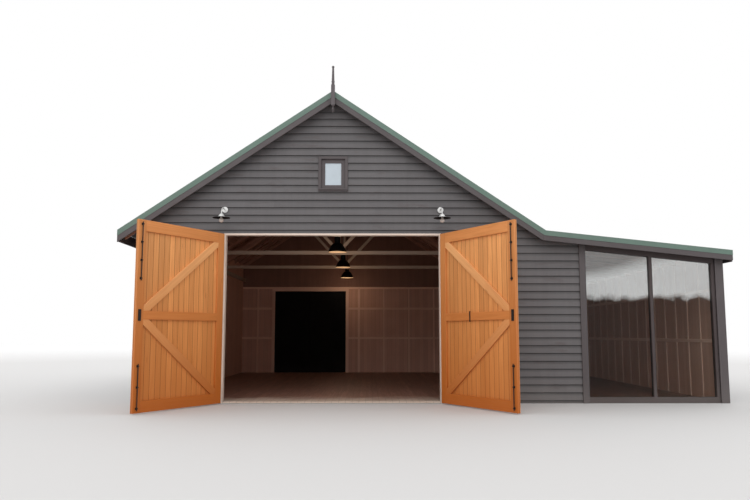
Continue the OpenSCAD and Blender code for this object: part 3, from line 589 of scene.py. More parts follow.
@dataclass(frozen=True)
class SheetPaint(Finish):
    """Baked paint on sheet metal: slight fading, dust and rain marks."""

    metallic: float = 0.0
    fade: float = 0.12
    marks: float = 0.14
    waves: float = 0.0015

    def dress(self, tree: Tree, shader: Node) -> None:
        """Adds the fading, dust and a slight unevenness."""
        place = place_of(tree)
        weather = group_outputs(tree, "weathering", {"Vector": place, "Splash height": 0.2})
        tones = tree.times(tree.math("ADD", weather["Clouds"], tone_of(tree)), 0.5)
        colour = tree.blend(tones, self.tint(1 - self.fade), self.tint(1 + self.fade))
        colour = tree.layered(colour, [(weather["Streaks"], self.marks, self.tint(1.7))])
        tree.fill(shader, {"Metallic": self.metallic})
        rough = (weather["Streaks"], 0.08, 0.14)
        relief = (tree.noise(place, 6.0, 2.0), self.waves)
        self.surface(tree, shader, self.grimed_and_shaded(tree, colour), rough, relief)

    def grimed_and_shaded(self, tree: Tree, colour: Socket) -> Socket:
        """Adds the grime and painted shade that lie in the sheet's form; plain sheet has none.

        Args:
            tree: The material's tree.
            colour: The paint's colour.

        Returns:
            The colour with the grime on it.
        """
        return colour


@dataclass(frozen=True)
class RoofingPaint(SheetPaint):
    """Baked paint on corrugated sheets: painted shade and grime in troughs, painted shade at laps.
    """

    start_y: float = 0.0
    pitch: float = 0.0762
    waves_a_sheet: int = 10

    def grimed_and_shaded(self, tree: Tree, colour: Socket) -> Socket:
        """Darkens the troughs with painted shade and grime, and the laps with painted shade."""
        y = tree.parts(place_of(tree))[1]
        waves = tree.math("DIVIDE", tree.math("SUBTRACT", y, self.start_y), self.pitch)
        crest = tree.math("COSINE", tree.times(waves, 2 * math.pi))
        sheet = tree.math("FRACT", tree.math("DIVIDE", waves, self.waves_a_sheet))
        return tree.layered(colour, (
            # Troughs: painted shade and grime. Sheet edges: painted shade of the laps.
            (tree.spread(crest, 0.5, -0.9), 0.62, self.tint(0.3)),
            (tree.spread(sheet, 0.028, 0.012), 0.8, self.tint(0.16)),
        ))


@dataclass(frozen=True)
class Iron(Finish):
    """Black ironwork: rough paint over forged iron with rubbed, slightly rusty spots."""

    metallic: float = 0.3
    dents: float = 0.001
    rust: Colour = srgb(86, 52, 36)

    def dress(self, tree: Tree, shader: Node) -> None:
        """Adds hammer marks and rust spots."""
        place = place_of(tree)
        marks = tree.noise(place, 45.0)
        spots = tree.spread(tree.noise(place, 14.0, 6.0, 0.7), 0.6, 0.72)
        colour = tree.blend(marks, self.tint(0.7), self.tint(1.6))
        colour = tree.layered(colour, [(spots, 0.35, self.rust)])
        tree.fill(shader, {"Metallic": self.metallic})
        rough = (tree.spread(marks, 0.3, 0.7), 0.1, 0.15)
        self.surface(tree, shader, colour, rough, (marks, self.dents))


@dataclass(frozen=True)
class Glass(Finish):
    """Window glass with slight waves, and a painted reflection on its upper part: a mirror-like
    coat.

    The painted reflection starts between the two heights of painted_reflection_z. It dims above
    a line that has a height of line_z where X is line_x, and that rises by line_rise for each
    metre of X.
    """

    ior: float = 1.2
    painted_reflection_ior: float = 4.0
    painted_reflection_z: tuple[float, float] = (2.06, 2.19)
    line_z: float = 2.47
    line_x: float = 5.0
    line_rise: float = 0.21
    reflection_dimmed: float = 0.29
    waves: float = 0.003

    def dress(self, tree: Tree, shader: Node) -> None:
        """Adds the waves and the painted reflection."""
        place = place_of(tree)
        # The cloud noise wavers the painted reflection's edges and strength.
        cloud = tree.noise(tree.scaled(place, (0.5, 1, 1.6)), 0.8, 4.0, 0.5)
        ripple = tree.spread(tree.noise(place, 3.2, 6.0), 0.3, 0.7, (-0.07, 0.07))
        x, _, z = tree.parts(place)
        # Painted reflection: a strong mirror-like coat above a wavy height, dimmer above a slanting
        # line.
        painted_reflection = tree.spread(tree.math("ADD", z, ripple), *self.painted_reflection_z)
        rise = tree.times(tree.math("SUBTRACT", x, self.line_x), self.line_rise)
        line = tree.math("ADD", self.line_z, rise)
        above = tree.math("SUBTRACT", tree.math("ADD", z, tree.times(cloud, 0.3)), line)
        reflection_dim = tree.spread(above, 0.1, 0.36, (1, self.reflection_dimmed))
        reflection_dim = tree.times(reflection_dim, tree.spread(cloud, 0.35, 0.65, (0.86, 1)))
        tree.fill(shader, {"IOR": self.ior, "Transmission Weight": 1.0, "Coat Roughness": 0.03})
        tree.fill(shader, {"Coat Weight": tree.times(painted_reflection, reflection_dim), "Coat IOR": self.painted_reflection_ior})
        rough = (tree.noise(place, 7.0, 6.0), 0, 0.04)
        relief = (tree.noise(place, 1.1, 1.0), self.waves)
        self.surface(tree, shader, self.colour, rough, relief)


@dataclass(frozen=True)
class Opal(Finish):
    """Milky glass that may give light of its own."""

    glow: float = 0.0

    def dress(self, tree: Tree, shader: Node) -> None:
        """Adds the glow and a soft unevenness."""
        tree.fill(shader, {"Emission Color": self.colour, "Emission Strength": self.glow})
        cloud = tree.noise(place_of(tree), 3.0, 3.0)
        colour = tree.blend(cloud, self.tint(0.88), self.tint(1.1))
        tree.fill(shader, {"Base Color": colour, "Coat Weight": 0.3})


HEAD_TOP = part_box("doorway_head")[1].z
COURSES_BELOW_HEAD = 23
LAP_OVER_HEAD = 0.071
COURSE_START = HEAD_TOP + LAP_OVER_HEAD - COURSES_BELOW_HEAD * COVER

WALL = srgb(94, 91, 92)
WALL_X = CoursePaint("weatherboard paint, front and back", WALL, 0.66, start_z=COURSE_START)
WALL_Y = CoursePaint("weatherboard paint, sides", WALL, 0.66, along=Axis.Y, start_z=COURSE_START)
TRIM = TimberPaint("charcoal trim paint", srgb(78, 71, 72))
SASH = TimberPaint("dark window frame paint", srgb(58, 48, 48))
FINIAL = SheetPaint("finial paint", srgb(82, 75, 77), 0.55)
GREEN = SheetPaint("green roofing paint", srgb(93, 115, 104), 0.5)
ROOF_FRONT, ROOF_BACK = (corner.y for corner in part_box("roof_left"))
ROOF_LENGTH = ROOF_BACK - ROOF_FRONT
ROOFING = RoofingPaint(
    "green corrugated paint", srgb(97, 120, 108), 0.5, start_y=ROOF_FRONT,
    pitch=ROOF_LENGTH / round(ROOF_LENGTH / RoofingPaint.pitch),
)
CREAM = TimberPaint("cream truss paint", srgb(177, 155, 138), 0.5, dust=0.2)
JAMB = TimberPaint("doorway paint", srgb(216, 198, 184), 0.5, dust=0.25)
# Far lighter than the real dark-brown stain: painted light on the ceiling and the rafters.
CEILING_STAIN_PAINTED_LIGHT = StainedTimber("ceiling stain lightened by painted light", srgb(172, 124, 104), dark=srgb(92, 60, 50))
BATTEN = TimberPaint("inner trim paint", srgb(226, 182, 162), 0.55, dust=0.1)
# Door colours towards the feet: painted shade, the upper doors lit more than the lower.
BOARD_FOOT_SHADE = srgb(182, 98, 26)
FRAME_FOOT_SHADE = srgb(174, 88, 14)
HONEY = StainedTimber(
    "honey door stain", srgb(236, 165, 101), 0.45, 0.3, srgb(180, 104, 46), (0.72, 1.12),
    bands=0.28, streaks=0.3, coat=0.06, foot=0.8, foot_shade_colour=BOARD_FOOT_SHADE, foot_shade_height=3.0,
    knots=0.4,
)
FRAME_HONEY = StainedTimber(
    "honey door frame stain", srgb(220, 145, 84), 0.45, 0.3, srgb(176, 98, 40), (0.84, 1.04),
    bands=0.24, streaks=0.16, coat=0.06, foot=0.95, foot_shade_colour=FRAME_FOOT_SHADE, foot_shade_height=3.0,
    knots=0.5,
)
BRACE_HONEY = StainedTimber(
    "honey door brace stain", srgb(244, 180, 120), 0.45, 0.3, srgb(198, 120, 60), (0.94, 1.06),
    bands=0.2, streaks=0.2, coat=0.06, foot=1.0, foot_shade_colour=FRAME_FOOT_SHADE, foot_shade_height=3.0,
    knots=0.4,
)
HONEY_JOINT = Finish("joint between door boards", srgb(136, 80, 38), 0.7, 0.2)
STEP = SheetPaint("pale threshold strip", srgb(160, 156, 150), 0.5, metallic=0.2)
IRON = Iron("black iron", srgb(24, 22, 22), 0.55)
BLACK_DOORS = TimberPaint("black door paint", srgb(9, 8, 8), 0.75, 0.15, dust=0.04)
ENAMEL = SheetPaint("black enamel", srgb(16, 15, 15), 0.5, 0.25, marks=0.0)
# Near-black lamp dish: painted shadow of its underside, which hangs in its own shade.
DISH_PAINTED_SHADOW = Finish("dish metal painted with its shadow", srgb(44, 40, 40), 0.9, 0.05)
SHADE_INSIDE = SheetPaint("white enamel", srgb(206, 184, 158), 0.5, 0.3, fade=0.04, marks=0.0)
ZINC = SheetPaint("dull galvanised steel", srgb(206, 206, 204), 0.42, metallic=0.3)
WINDOW = Glass("lean-to window glass", srgb(226, 232, 230), 0.02)
PALE_PANE = Opal("pale gable pane", srgb(178, 190, 198), 0.2)
BULB = Opal("opal wall bulb", srgb(196, 184, 176), 0.25)
LIT_BULB = Opal("lit hanging bulb", srgb(255, 226, 190), 0.3, glow=1.0)
# Cream lining paint, tinted pinkish as painted warm lamplight.
LINING_WITH_WARM_LIGHT = SetBoards(
    "painted lining boards", srgb(211, 162, 142), 0.62, dark=srgb(160, 112, 94), joint=0.4,
    variety=0.12, gable=srgb(130, 91, 76),
)
FLOOR = SetBoards(
    "worn floor boards", srgb(150, 108, 92), 0.5, width=0.135, along=Axis.Y, dark=srgb(86, 58, 48),
    bands=0.35, paler_near_door=srgb(206, 188, 172),
)


# Meshes


Box = tuple[Vector, Vector]
Profile = Sequence[tuple[float, float]]


def chamfered_corners(low: Sequence[float], high: Sequence[float], chamfer: float) -> list[Vector]:
    """The 24 corners of a chamfered box: three at each corner of the plain box.

    Args:
        low: The plain box's lowest corner.
        high: Its highest corner.
        chamfer: The chamfers' size.

    Returns:
        The corners. The first of each three lies on the plain box's face along X, and so on.
    """
    corners = []
    for corner in range(8):
        for full in range(3):
            eased = [0 if a == full else chamfer for a in range(3)]
            corners.append(Vector([
                high[a] - eased[a] if (corner >> a) & 1 else low[a] + eased[a] for a in range(3)
            ]))
    return corners


def chamfered_faces() -> list[tuple[int, ...]]:
    """The faces of a chamfered box, as numbers in its list of corners."""
    shape = bmesh.new()
    for corner in chamfered_corners((-1, -1, -1), (1, 1, 1), 0.2):
        shape.verts.new(corner)
    bmesh.ops.convex_hull(shape, input=shape.verts[:])
    bmesh.ops.dissolve_limit(shape, angle_limit=0.01, verts=shape.verts[:], edges=shape.edges[:])
    shape.verts.index_update()
    faces = [tuple(v.index for v in face.verts) for face in shape.faces]
    shape.free()
    return faces


MOST_CHAMFER = 0.45
SAME_POINT = 1e-5
NO_LENGTH = 1e-3
FLAT = math.radians(0.5)
SHARP = math.radians(20)
CHAMFERED_FACES = chamfered_faces()


def smooth_curve(knots: Profile, steps: int) -> Profile:
    """A smooth plane curve through some points.

    Args:
        knots: The points that it goes through.
        steps: The number of steps between two of them.

    Returns:
        Its points, from the first knot to the last.
    """
    ends = [knots[0], *knots, knots[-1]]
    curve = []
    for a, b, c, d in zip(ends, ends[1:], ends[2:], ends[3:]):
        for i in range(steps):
            t = i / steps
            point = []
            for p, q, r, s in zip(a, b, c, d):
                bend = (2 * p - 5 * q + 4 * r - s) * t ** 2 + (3 * q - p - 3 * r + s) * t ** 3
                point.append(0.5 * (2 * q + (r - p) * t + bend))
            curve.append(tuple(point))
    return curve + [tuple(knots[-1])]


@dataclass
class Maker:
    """Gathers closed solids into one mesh, each with its own grain direction and tone."""

    name: str
    seed: int = 1
    points: list[Vector] = field(default_factory=list)
    faces: list[tuple[int, ...]] = field(default_factory=list)
    grain: list[Vector] = field(default_factory=list)
    tone: list[float] = field(default_factory=list)
    slots: list[int] = field(default_factory=list)

    def __post_init__(self) -> None:
        """Starts the random draws."""
        self.draws = random.Random(self.seed)

    def solid(
        self, points: Sequence[Vector], faces: Iterable[Sequence[int]],
        grain: Optional[Sequence[Vector]] = None, slot: int = 0,
    ) -> None:
        """Adds a closed solid with a random tone.

        Args:
            points: Its corners in the frame.
            faces: Its faces as corner numbers.
            grain: For each corner, its place along and across the grain.
            slot: The material slot of its faces.
        """
        first = len(self.points)
        offset = Vector([self.draws.uniform(0, 60) for _ in range(3)])
        self.points.extend(points)
        self.grain.extend(g + offset for g in (grain or points))
        self.tone.extend([self.draws.random()] * len(points))
        rows = [tuple(first + i for i in face) for face in faces]
        self.faces.extend(rows)
        self.slots.extend([slot] * len(rows))

    def box(
        self, low: Sequence[float], high: Sequence[float], place: Matrix = Matrix(),
        chamfer: float = 0.002, along: Axis = Axis.X, edge_slot: int = 0, slot: int = 0,
    ) -> None:
        """Adds a box with chamfered edges.

        Args:
            low: Its lowest corner in its own axes.
            high: Its highest corner in its own axes.
            place: Its own axes in the frame.
            chamfer: The chamfers' size.
            along: The axis that its grain follows.
            edge_slot: The material slot of the chamfers.
            slot: The material slot of the other faces.
        """
        c = min([chamfer] + [(b - a) * MOST_CHAMFER for a, b in zip(low, high)])
        local = chamfered_corners(low, high, c)
        grain = [Vector([p[i] for i in GRAIN_ORDER[along]]) for p in local]
        self.solid([place @ p for p in local], CHAMFERED_FACES, grain, slot)
        for i, face in enumerate(CHAMFERED_FACES):
            if len({v % 3 for v in face}) > 1:
                self.slots[i - len(CHAMFERED_FACES)] = edge_slot

    def turned(
        self, profile: Profile, place: Matrix, steps: int = 48, slot: int = 0,
    ) -> None:
        """Adds a closed turned solid.

        Args:
            profile: Radius and height of each point, from the axis round to the axis.
            place: The turning axis in the frame, as its Z.
            steps: The number of steps round the axis.
            slot: The material slot of its faces.
        """
        points, rings, faces = [], [], []
        for radius, height in profile:
            if radius < SAME_POINT:
                rings.append([len(points)])
                points.append(place @ Vector((0, 0, height)))
                continue
            rings.append(list(range(len(points), len(points) + steps)))
            for i in range(steps):
                a = 2 * math.pi * i / steps
                points.append(place @ Vector((radius * math.cos(a), radius * math.sin(a), height)))
        for lower, upper in zip(rings, rings[1:]):
            for i in range(steps):
                a, b = lower[i % len(lower)], lower[(i + 1) % len(lower)]
                c, d = upper[(i + 1) % len(upper)], upper[i % len(upper)]
                corners = list(dict.fromkeys((a, b, c, d)))
                if len(corners) > 2:
                    faces.append(tuple(corners))
        self.solid(points, faces, slot=slot)

    def extruded(
        self, outline: Profile, start: float, end: float, place: Matrix,
    ) -> None:
        """Adds an outline drawn in its own X and Y, and made solid along its own Z.

        Args:
            outline: The outline's corners.
            start: Where it starts along Z.
            end: Where it ends along Z.
            place: Its own axes in the frame.
        """
        n = len(outline)
        local = [Vector((p[0], p[1], z)) for z in (start, end) for p in outline]
        faces = [tuple(range(n)), tuple(range(n, 2 * n))]
        faces += [(i, (i + 1) % n, n + (i + 1) % n, n + i) for i in range(n)]
        self.solid([place @ p for p in local], faces, [Vector((p.z, p.x, p.y)) for p in local])

    def mesh(self) -> Mesh:
        """The gathered solids as one mesh, with their faces turned outwards."""
        mesh = bpy.data.meshes.new(self.name)
        mesh.from_pydata([tuple(p) for p in self.points], [], self.faces)
        mesh.polygons.foreach_set("material_index", self.slots)
        shape = bmesh.new()
        shape.from_mesh(mesh)
        bmesh.ops.recalc_face_normals(shape, faces=shape.faces)
        shape.to_mesh(mesh)
        shape.free()
        return mesh

    def piece(
        self, finishes: Sequence[Finish], slot: str = "", replaced: Sequence[str] = (),
        body: str = BODY, smooth: float = 0.0,
    ) -> Thing:
        """Makes the mesh, dresses it and sets it on its body.

        Args:
            finishes: The finish of each material slot.
            slot: The record's material slot; not used.
            replaced: The CAD nodes that it stands for.
            body: The body that it rides on.
            smooth: The angle in degrees under which edges are shaded smooth.

        Returns:
            The new object.
        """
        mesh = self.mesh()
        grain = mesh.attributes.new("grain", "FLOAT_VECTOR", "POINT")
        grain.data.foreach_set("vector", [c for g in self.grain for c in g])
        tone = mesh.attributes.new("tone", "FLOAT", "POINT")
        tone.data.foreach_set("value", self.tone)
        return finished(mesh, finishes, replaced, body, smooth)


def scene_object(name: str, data: bpy.types.ID) -> Thing:
    """An object for a mesh, a lamp or a camera, linked to the scene."""
    made = bpy.data.objects.new(name, data)
    bpy.context.scene.collection.objects.link(made)
    return made


def finished(
    mesh: Mesh, finishes: Sequence[Finish], replaced: Sequence[str],
    body: str, smooth: float = 0.0,
) -> Thing:
    """Makes a mesh into a piece with its materials, its shading and its body.

    Args:
        mesh: The mesh.
        finishes: The finish of each material slot.
        replaced: The CAD nodes that it stands for.
        body: The body that it rides on.
        smooth: The angle in degrees under which edges are shaded smooth.

    Returns:
        The new piece.
    """
    piece = scene_object(mesh.name, mesh)
    for finish in finishes:
        mesh.materials.append(finish.material())
    if smooth:
        mesh.shade_smooth()
        mesh.set_sharp_from_angle(angle=math.radians(smooth))
    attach(piece, body)
    if replaced:
        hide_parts(*replaced)
    triangles = sum(len(p.vertices) - 2 for p in mesh.polygons)
    LOG.info("%s: %d triangles, on %s", piece.name, triangles, body)
    return piece


def clean_copy(node: str) -> bmesh.types.BMesh:
    """A CAD node's mesh with its corners joined and its flat faces whole."""
    shape = bmesh.new()
    shape.from_mesh(frame["nodes"][node].data)
    bmesh.ops.remove_doubles(shape, verts=shape.verts[:], dist=SAME_POINT)
    bmesh.ops.dissolve_limit(shape, angle_limit=FLAT, verts=shape.verts[:], edges=shape.edges[:])
    return shape


def islands(shape: bmesh.types.BMesh) -> list[list[bmesh.types.BMVert]]:
    """The separate solids of a mesh, each as a list of its corners."""
    seen: set[bmesh.types.BMVert] = set()
    found = []
    for start in shape.verts:
        if start in seen:
            continue
        group, queue = [], [start]
        seen.add(start)
        while queue:
            vert = queue.pop()
            group.append(vert)
            for edge in vert.link_edges:
                other = edge.other_vert(vert)
                if other not in seen:
                    seen.add(other)
                    queue.append(other)
        found.append(group)
    return found


def box_of(points: Iterable[Vector]) -> Box:
    """The lowest and the highest corner of some points."""
    points = list(points)
    low = Vector([min(p[i] for p in points) for i in range(3)])
    high = Vector([max(p[i] for p in points) for i in range(3)])
    return low, high


def solid_boxes(node: str, axes_back: Matrix = Matrix()) -> list[Box]:
    """The box of each solid of a CAD node.

    Args:
        node: The node.
        axes_back: From the frame to the axes that the boxes are taken in.

    Returns:
        One box for each solid.
    """
    shape = clean_copy(node)
    boxes = [box_of(axes_back @ v.co for v in group) for group in islands(shape)]
    shape.free()
    return boxes


def node_body(node: str) -> str:
    """The name of the body that a CAD node is on."""
    return frame["nodes"][node]["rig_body"]


def timbers(
    name: str, nodes: Sequence[str], finish: Finish, slot: str, chamfer: float, seed: int,
) -> Thing:
    """Makes dressed timbers in the place of CAD nodes: eased edges, and grain along each timber.

    Args:
        name: The new piece's name.
        nodes: The CAD nodes that it stands for, all on one body.
        finish: Its finish.
        slot: The record's material slot.
        chamfer: The size of the eased edges.
        seed: The seed of its tones.

    Returns:
        The new piece.
    """
    maker = Maker(name, seed)
    for node in nodes:
        shape = clean_copy(node)
        sharp = [e for e in shape.edges if e.is_manifold and e.calc_face_angle(0) > SHARP]
        bmesh.ops.bevel(
            shape, geom=sharp, offset=chamfer, segments=1, affect="EDGES", clamp_overlap=True,
        )
        for group in islands(shape):
            faces = {f for v in group for f in v.link_faces}
            edge = max((e for v in group for e in v.link_edges), key=lambda e: e.calc_length())
            along = (edge.verts[1].co - edge.verts[0].co).normalized()
            largest = max(faces, key=lambda f: f.calc_area())
            through = largest.normal - along * largest.normal.dot(along)
            through = (through if through.length > NO_LENGTH else along.orthogonal()).normalized()
            across = through.cross(along)
            number = {v: i for i, v in enumerate(group)}
            points = [v.co.copy() for v in group]
            local = [Vector((p.dot(along), p.dot(across), p.dot(through))) for p in points]
            in_order = sorted(faces, key=lambda f: f.index)
            maker.solid(points, [[number[v] for v in f.verts] for f in in_order], local)
        shape.free()
    return maker.piece([finish], slot, nodes, node_body(nodes[0]))


def dress_node(node: str, finish: Finish) -> None:
    """Gives a CAD node that stays as it is its finish."""
    piece = frame["nodes"][node]
    piece.data.materials.clear()
    piece.data.materials.append(finish.material())
    LOG.info("%s: kept, with %s", node, finish.name)


def carved(maker: Maker, node: str, finish: Finish) -> Thing:
    """Cuts a maker's solids to the shape of a CAD node and puts the result in its place.

    Args:
        maker: The solids, larger than the node all round but for their face.
        node: The CAD node.
        finish: The finish.

    Returns:
        The new piece.
    """
    shape = clean_copy(node)
    cutter_mesh = bpy.data.meshes.new("cutter")
    shape.to_mesh(cutter_mesh)
    shape.free()
    rough, cutter = scene_object("rough", maker.mesh()), scene_object("cutter", cutter_mesh)
    cut = rough.modifiers.new("cut", "BOOLEAN")
    cut.operation = "INTERSECT"
    cut.solver = "EXACT"
    cut.object = cutter
    graph = bpy.context.evaluated_depsgraph_get()
    result = bpy.data.meshes.new_from_object(rough.evaluated_get(graph))
    for spare in (rough, cutter):
        old = spare.data
        bpy.data.objects.remove(spare)
        bpy.data.meshes.remove(old)
    result.name = maker.name
    return finished(result, [finish], [node], node_body(node))


def axes(*columns: Sequence[float]) -> Matrix:
    """A matrix from the directions of X, Y and Z, and an origin."""
    rows = [[column[i] for column in columns] for i in range(3)]
    return Matrix(rows + [[0, 0, 0, 1]])


# Sub-assemblies


@dataclass
class Walls:
    """Weatherboard walls: lapped boards that taper upwards, in courses that line up all round."""

    cover: float = COVER
    start: float = COURSE_START
    butt: float = 0.019
    round_edge: float = 0.0025
    margin: float = 0.05
    inset: float = 0.0003

    def profile(self, low: float, high: float, depth: float) -> Profile:
        """The boards' section.

        Args:
            low: The wall's foot.
            high: The wall's top.
            depth: The wall's thickness.

        Returns:
            Points of depth behind the wall's face and height.
        """
        points = []
        course = math.floor((low - self.start) / self.cover) - 1
        z = self.start + course * self.cover
        while z < high + self.margin:
            points.append((self.inset + self.round_edge, z))
            points.append((self.inset, z + self.round_edge))
            points.append((self.butt, z + self.cover))
            z += self.cover
        back = depth + self.margin
        return points + [(back, z), (back, points[0][1])]

    def clad(self, node: str, inward: Sequence[float], finish: Finish) -> None:
        """Clads one wall.

        Args:
            node: The wall's CAD node.
            inward: The direction from its outer face into the wall.
            finish: The paint.
        """
        low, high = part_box(node)
        into = Vector(inward)
        across = 0 if abs(into.y) > 0.5 else 1
        deep = 1 - across
        origin = Vector((0, 0, 0))
        origin[deep] = low[deep] if into[deep] > 0 else high[deep]
        direction = Vector((0, 0, 0))
        direction[across] = 1
        maker = Maker(node + "_boards", seed=11)
        outline = self.profile(low.z, high.z, high[deep] - low[deep])
        place = axes(into, (0, 0, 1), direction, origin)
        maker.extruded(outline, low[across] - self.margin, high[across] + self.margin, place)
        carved(maker, node, finish)

    def build(self) -> None:
        """Clads all the walls."""
        for node, inward, paint in (
            ("front_wall_left", (0, 1, 0), WALL_X),
            ("front_wall_right", (0, 1, 0), WALL_X),
            ("front_wall_lean_to", (0, 1, 0), WALL_X),
            ("front_gable_wall", (0, 1, 0), WALL_X),
            ("back_wall", (0, -1, 0), WALL_X),
            ("back_wall_lean_to", (0, -1, 0), WALL_X),
            ("left_wall", (1, 0, 0), WALL_Y),
            ("right_wall", (-1, 0, 0), WALL_Y),
        ):
            self.clad(node, inward, paint)


@dataclass
class Trim:
    """Charcoal boards at the corners, verges and eaves, and the windows' frames."""

    chamfer: float = 0.003

    def build(self) -> None:
        """Makes the edge boards and the frames."""
        for seed, (name, nodes, paint) in enumerate((
            ("corner_board_timbers", ["corner_boards"], TRIM),
            ("verge_board_timbers", ["barge_boards"], TRIM),
            ("eave_board_timbers", ["fascia_boards"], TRIM),
            ("lean_to_window_timbers", ["lean_to_frame"], SASH),
            ("gable_window_timbers", ["gable_window_frame", "gable_window_sash"], TRIM),
        )):
            timbers(name, nodes, paint, "trim_paint", self.chamfer, 21 + seed)
        dress_node("finial", FINIAL)
        dress_node("lean_to_glass", WINDOW)
        dress_node("gable_window_glass", PALE_PANE)


@dataclass
class Roof:
    """Corrugated roofing with its green cappings, and the boarded ceiling under it."""

    wave: float = 0.0165
    sheet: float = 0.0012
    steps: int = 10
    board: float = 0.135
    gap: float = 0.0008
    eased: float = 0.004
    mitre: float = 0.012
    front_reach: float = 0.01
    eave_reach: float = 0.03

    def edge(self, points: Iterable[Vector]) -> tuple[Vector, Vector, Vector, float]:
        """The slope of a roof node or of one side of the ceiling.

        Args:
            points: Its corners.

        Returns:
            The upper corners of its two ends, from the lower X to the higher, its normal and its
            thickness.
        """
        points = sorted((p.copy() for p in points), key=lambda p: p.x)
        front = min(p.y for p in points)
        end = [p for p in points if p.y < front + self.front_reach]
        half = len(end) // 2
        first, last = (max(side, key=lambda p: p.z) for side in (end[:half], end[half:]))
        under = min(end[:half], key=lambda p: p.z)
        normal = Vector((0, -1, 0)).cross(last - first).normalized()
        normal = normal if normal.z > 0 else -normal
        return first, last, normal, (first - under).dot(normal)

    def corrugated(self, node: str) -> None:
        """Makes one slope's corrugated sheets, each lying against the next."""
        shape = clean_copy(node)
        first, last, normal, _ = self.edge(v.co for v in shape.verts)
        shape.free()
        low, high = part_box(node)
        waves = round((high.y - low.y) / ROOFING.pitch)
        maker = Maker(node + "_sheets", seed=31)
        for start in range(0, waves, ROOFING.waves_a_sheet):
            end = min(start + ROOFING.waves_a_sheet, waves)
            section = []
            for i in range(start * self.steps, end * self.steps + 1):
                y = low.y + (high.y - low.y) * i / (waves * self.steps)
                turn = 2 * math.pi * i / self.steps
                section.append((y, -self.wave / 2 * (1 - math.cos(turn))))
            self.sheet_solid(maker, section, (first, last), normal)
        maker.piece([ROOFING], "green_roofing", [node], smooth=40)

    def sheet_solid(
        self, maker: Maker, section: Profile, ends: Sequence[Vector], normal: Vector,
    ) -> None:
        """Adds one sheet.

        Args:
            maker: What it is added to.
            section: Its section, as places along Y and depths under the slope.
            ends: The slope's two upper corners.
            normal: The slope's normal.
        """
        points = []
        for end in ends:
            for shift in (0.0, -self.sheet):
                points += [Vector((end.x, y, end.z)) + normal * (d + shift) for y, d in section]
        n = len(section)
        faces = []
        for i in range(n - 1):
            faces.append((i, i + 1, 2 * n + i + 1, 2 * n + i))
            faces.append((n + i, n + i + 1, 3 * n + i + 1, 3 * n + i))
            faces.append((i, i + 1, n + i + 1, n + i))
            faces.append((2 * n + i, 2 * n + i + 1, 3 * n + i + 1, 3 * n + i))
        faces += [(0, n, 3 * n, 2 * n), (n - 1, 2 * n - 1, 4 * n - 1, 3 * n - 1)]
        maker.solid(points, faces)

    def ceiling(self) -> None:
        """Makes the boards under the roofing. The outermost at each eave has trim paint: painted
        shade.
        """
        shape = clean_copy("ceiling_boards")
        maker = Maker("ceiling_timbers", seed=32)
        for group in islands(shape):
            low, high = box_of(v.co for v in group)
            first, last, normal, thick = self.edge(v.co for v in group)
            slope = (last - first).normalized()
            length = (last - first).length - 2 * self.mitre
            count = round(length / self.board)
            place = axes(slope, (0, 1, 0), -normal, first + slope * self.mitre)
            foot = min(first, last, key=lambda p: p.z)
            inland = min(abs(foot.x - corner.x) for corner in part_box("ceiling_boards"))
            outermost = 0 if foot is first else count - 1
            for i in range(count):
                a = length * i / count + self.gap
                b = length * (i + 1) / count - self.gap
                # Charcoal on the outermost board at an eave: painted shade under the eave.
                paint = int(inland < self.eave_reach and i == outermost)
                end = (b, high.y - low.y, thick)
                maker.box((a, 0, 0), end, place, self.eased, Axis.Y, paint, paint)
        shape.free()
        maker.piece([CEILING_STAIN_PAINTED_LIGHT, TRIM], "dark_timber", ["ceiling_boards"])

    def build(self) -> None:
        """Makes the roofing, its cappings and the ceiling."""
        for node in ("roof_left", "roof_right", "roof_lean_to"):
            self.corrugated(node)
        for node in ("ridge_cap", "barge_caps"):
            dress_node(node, GREEN)
        self.ceiling()


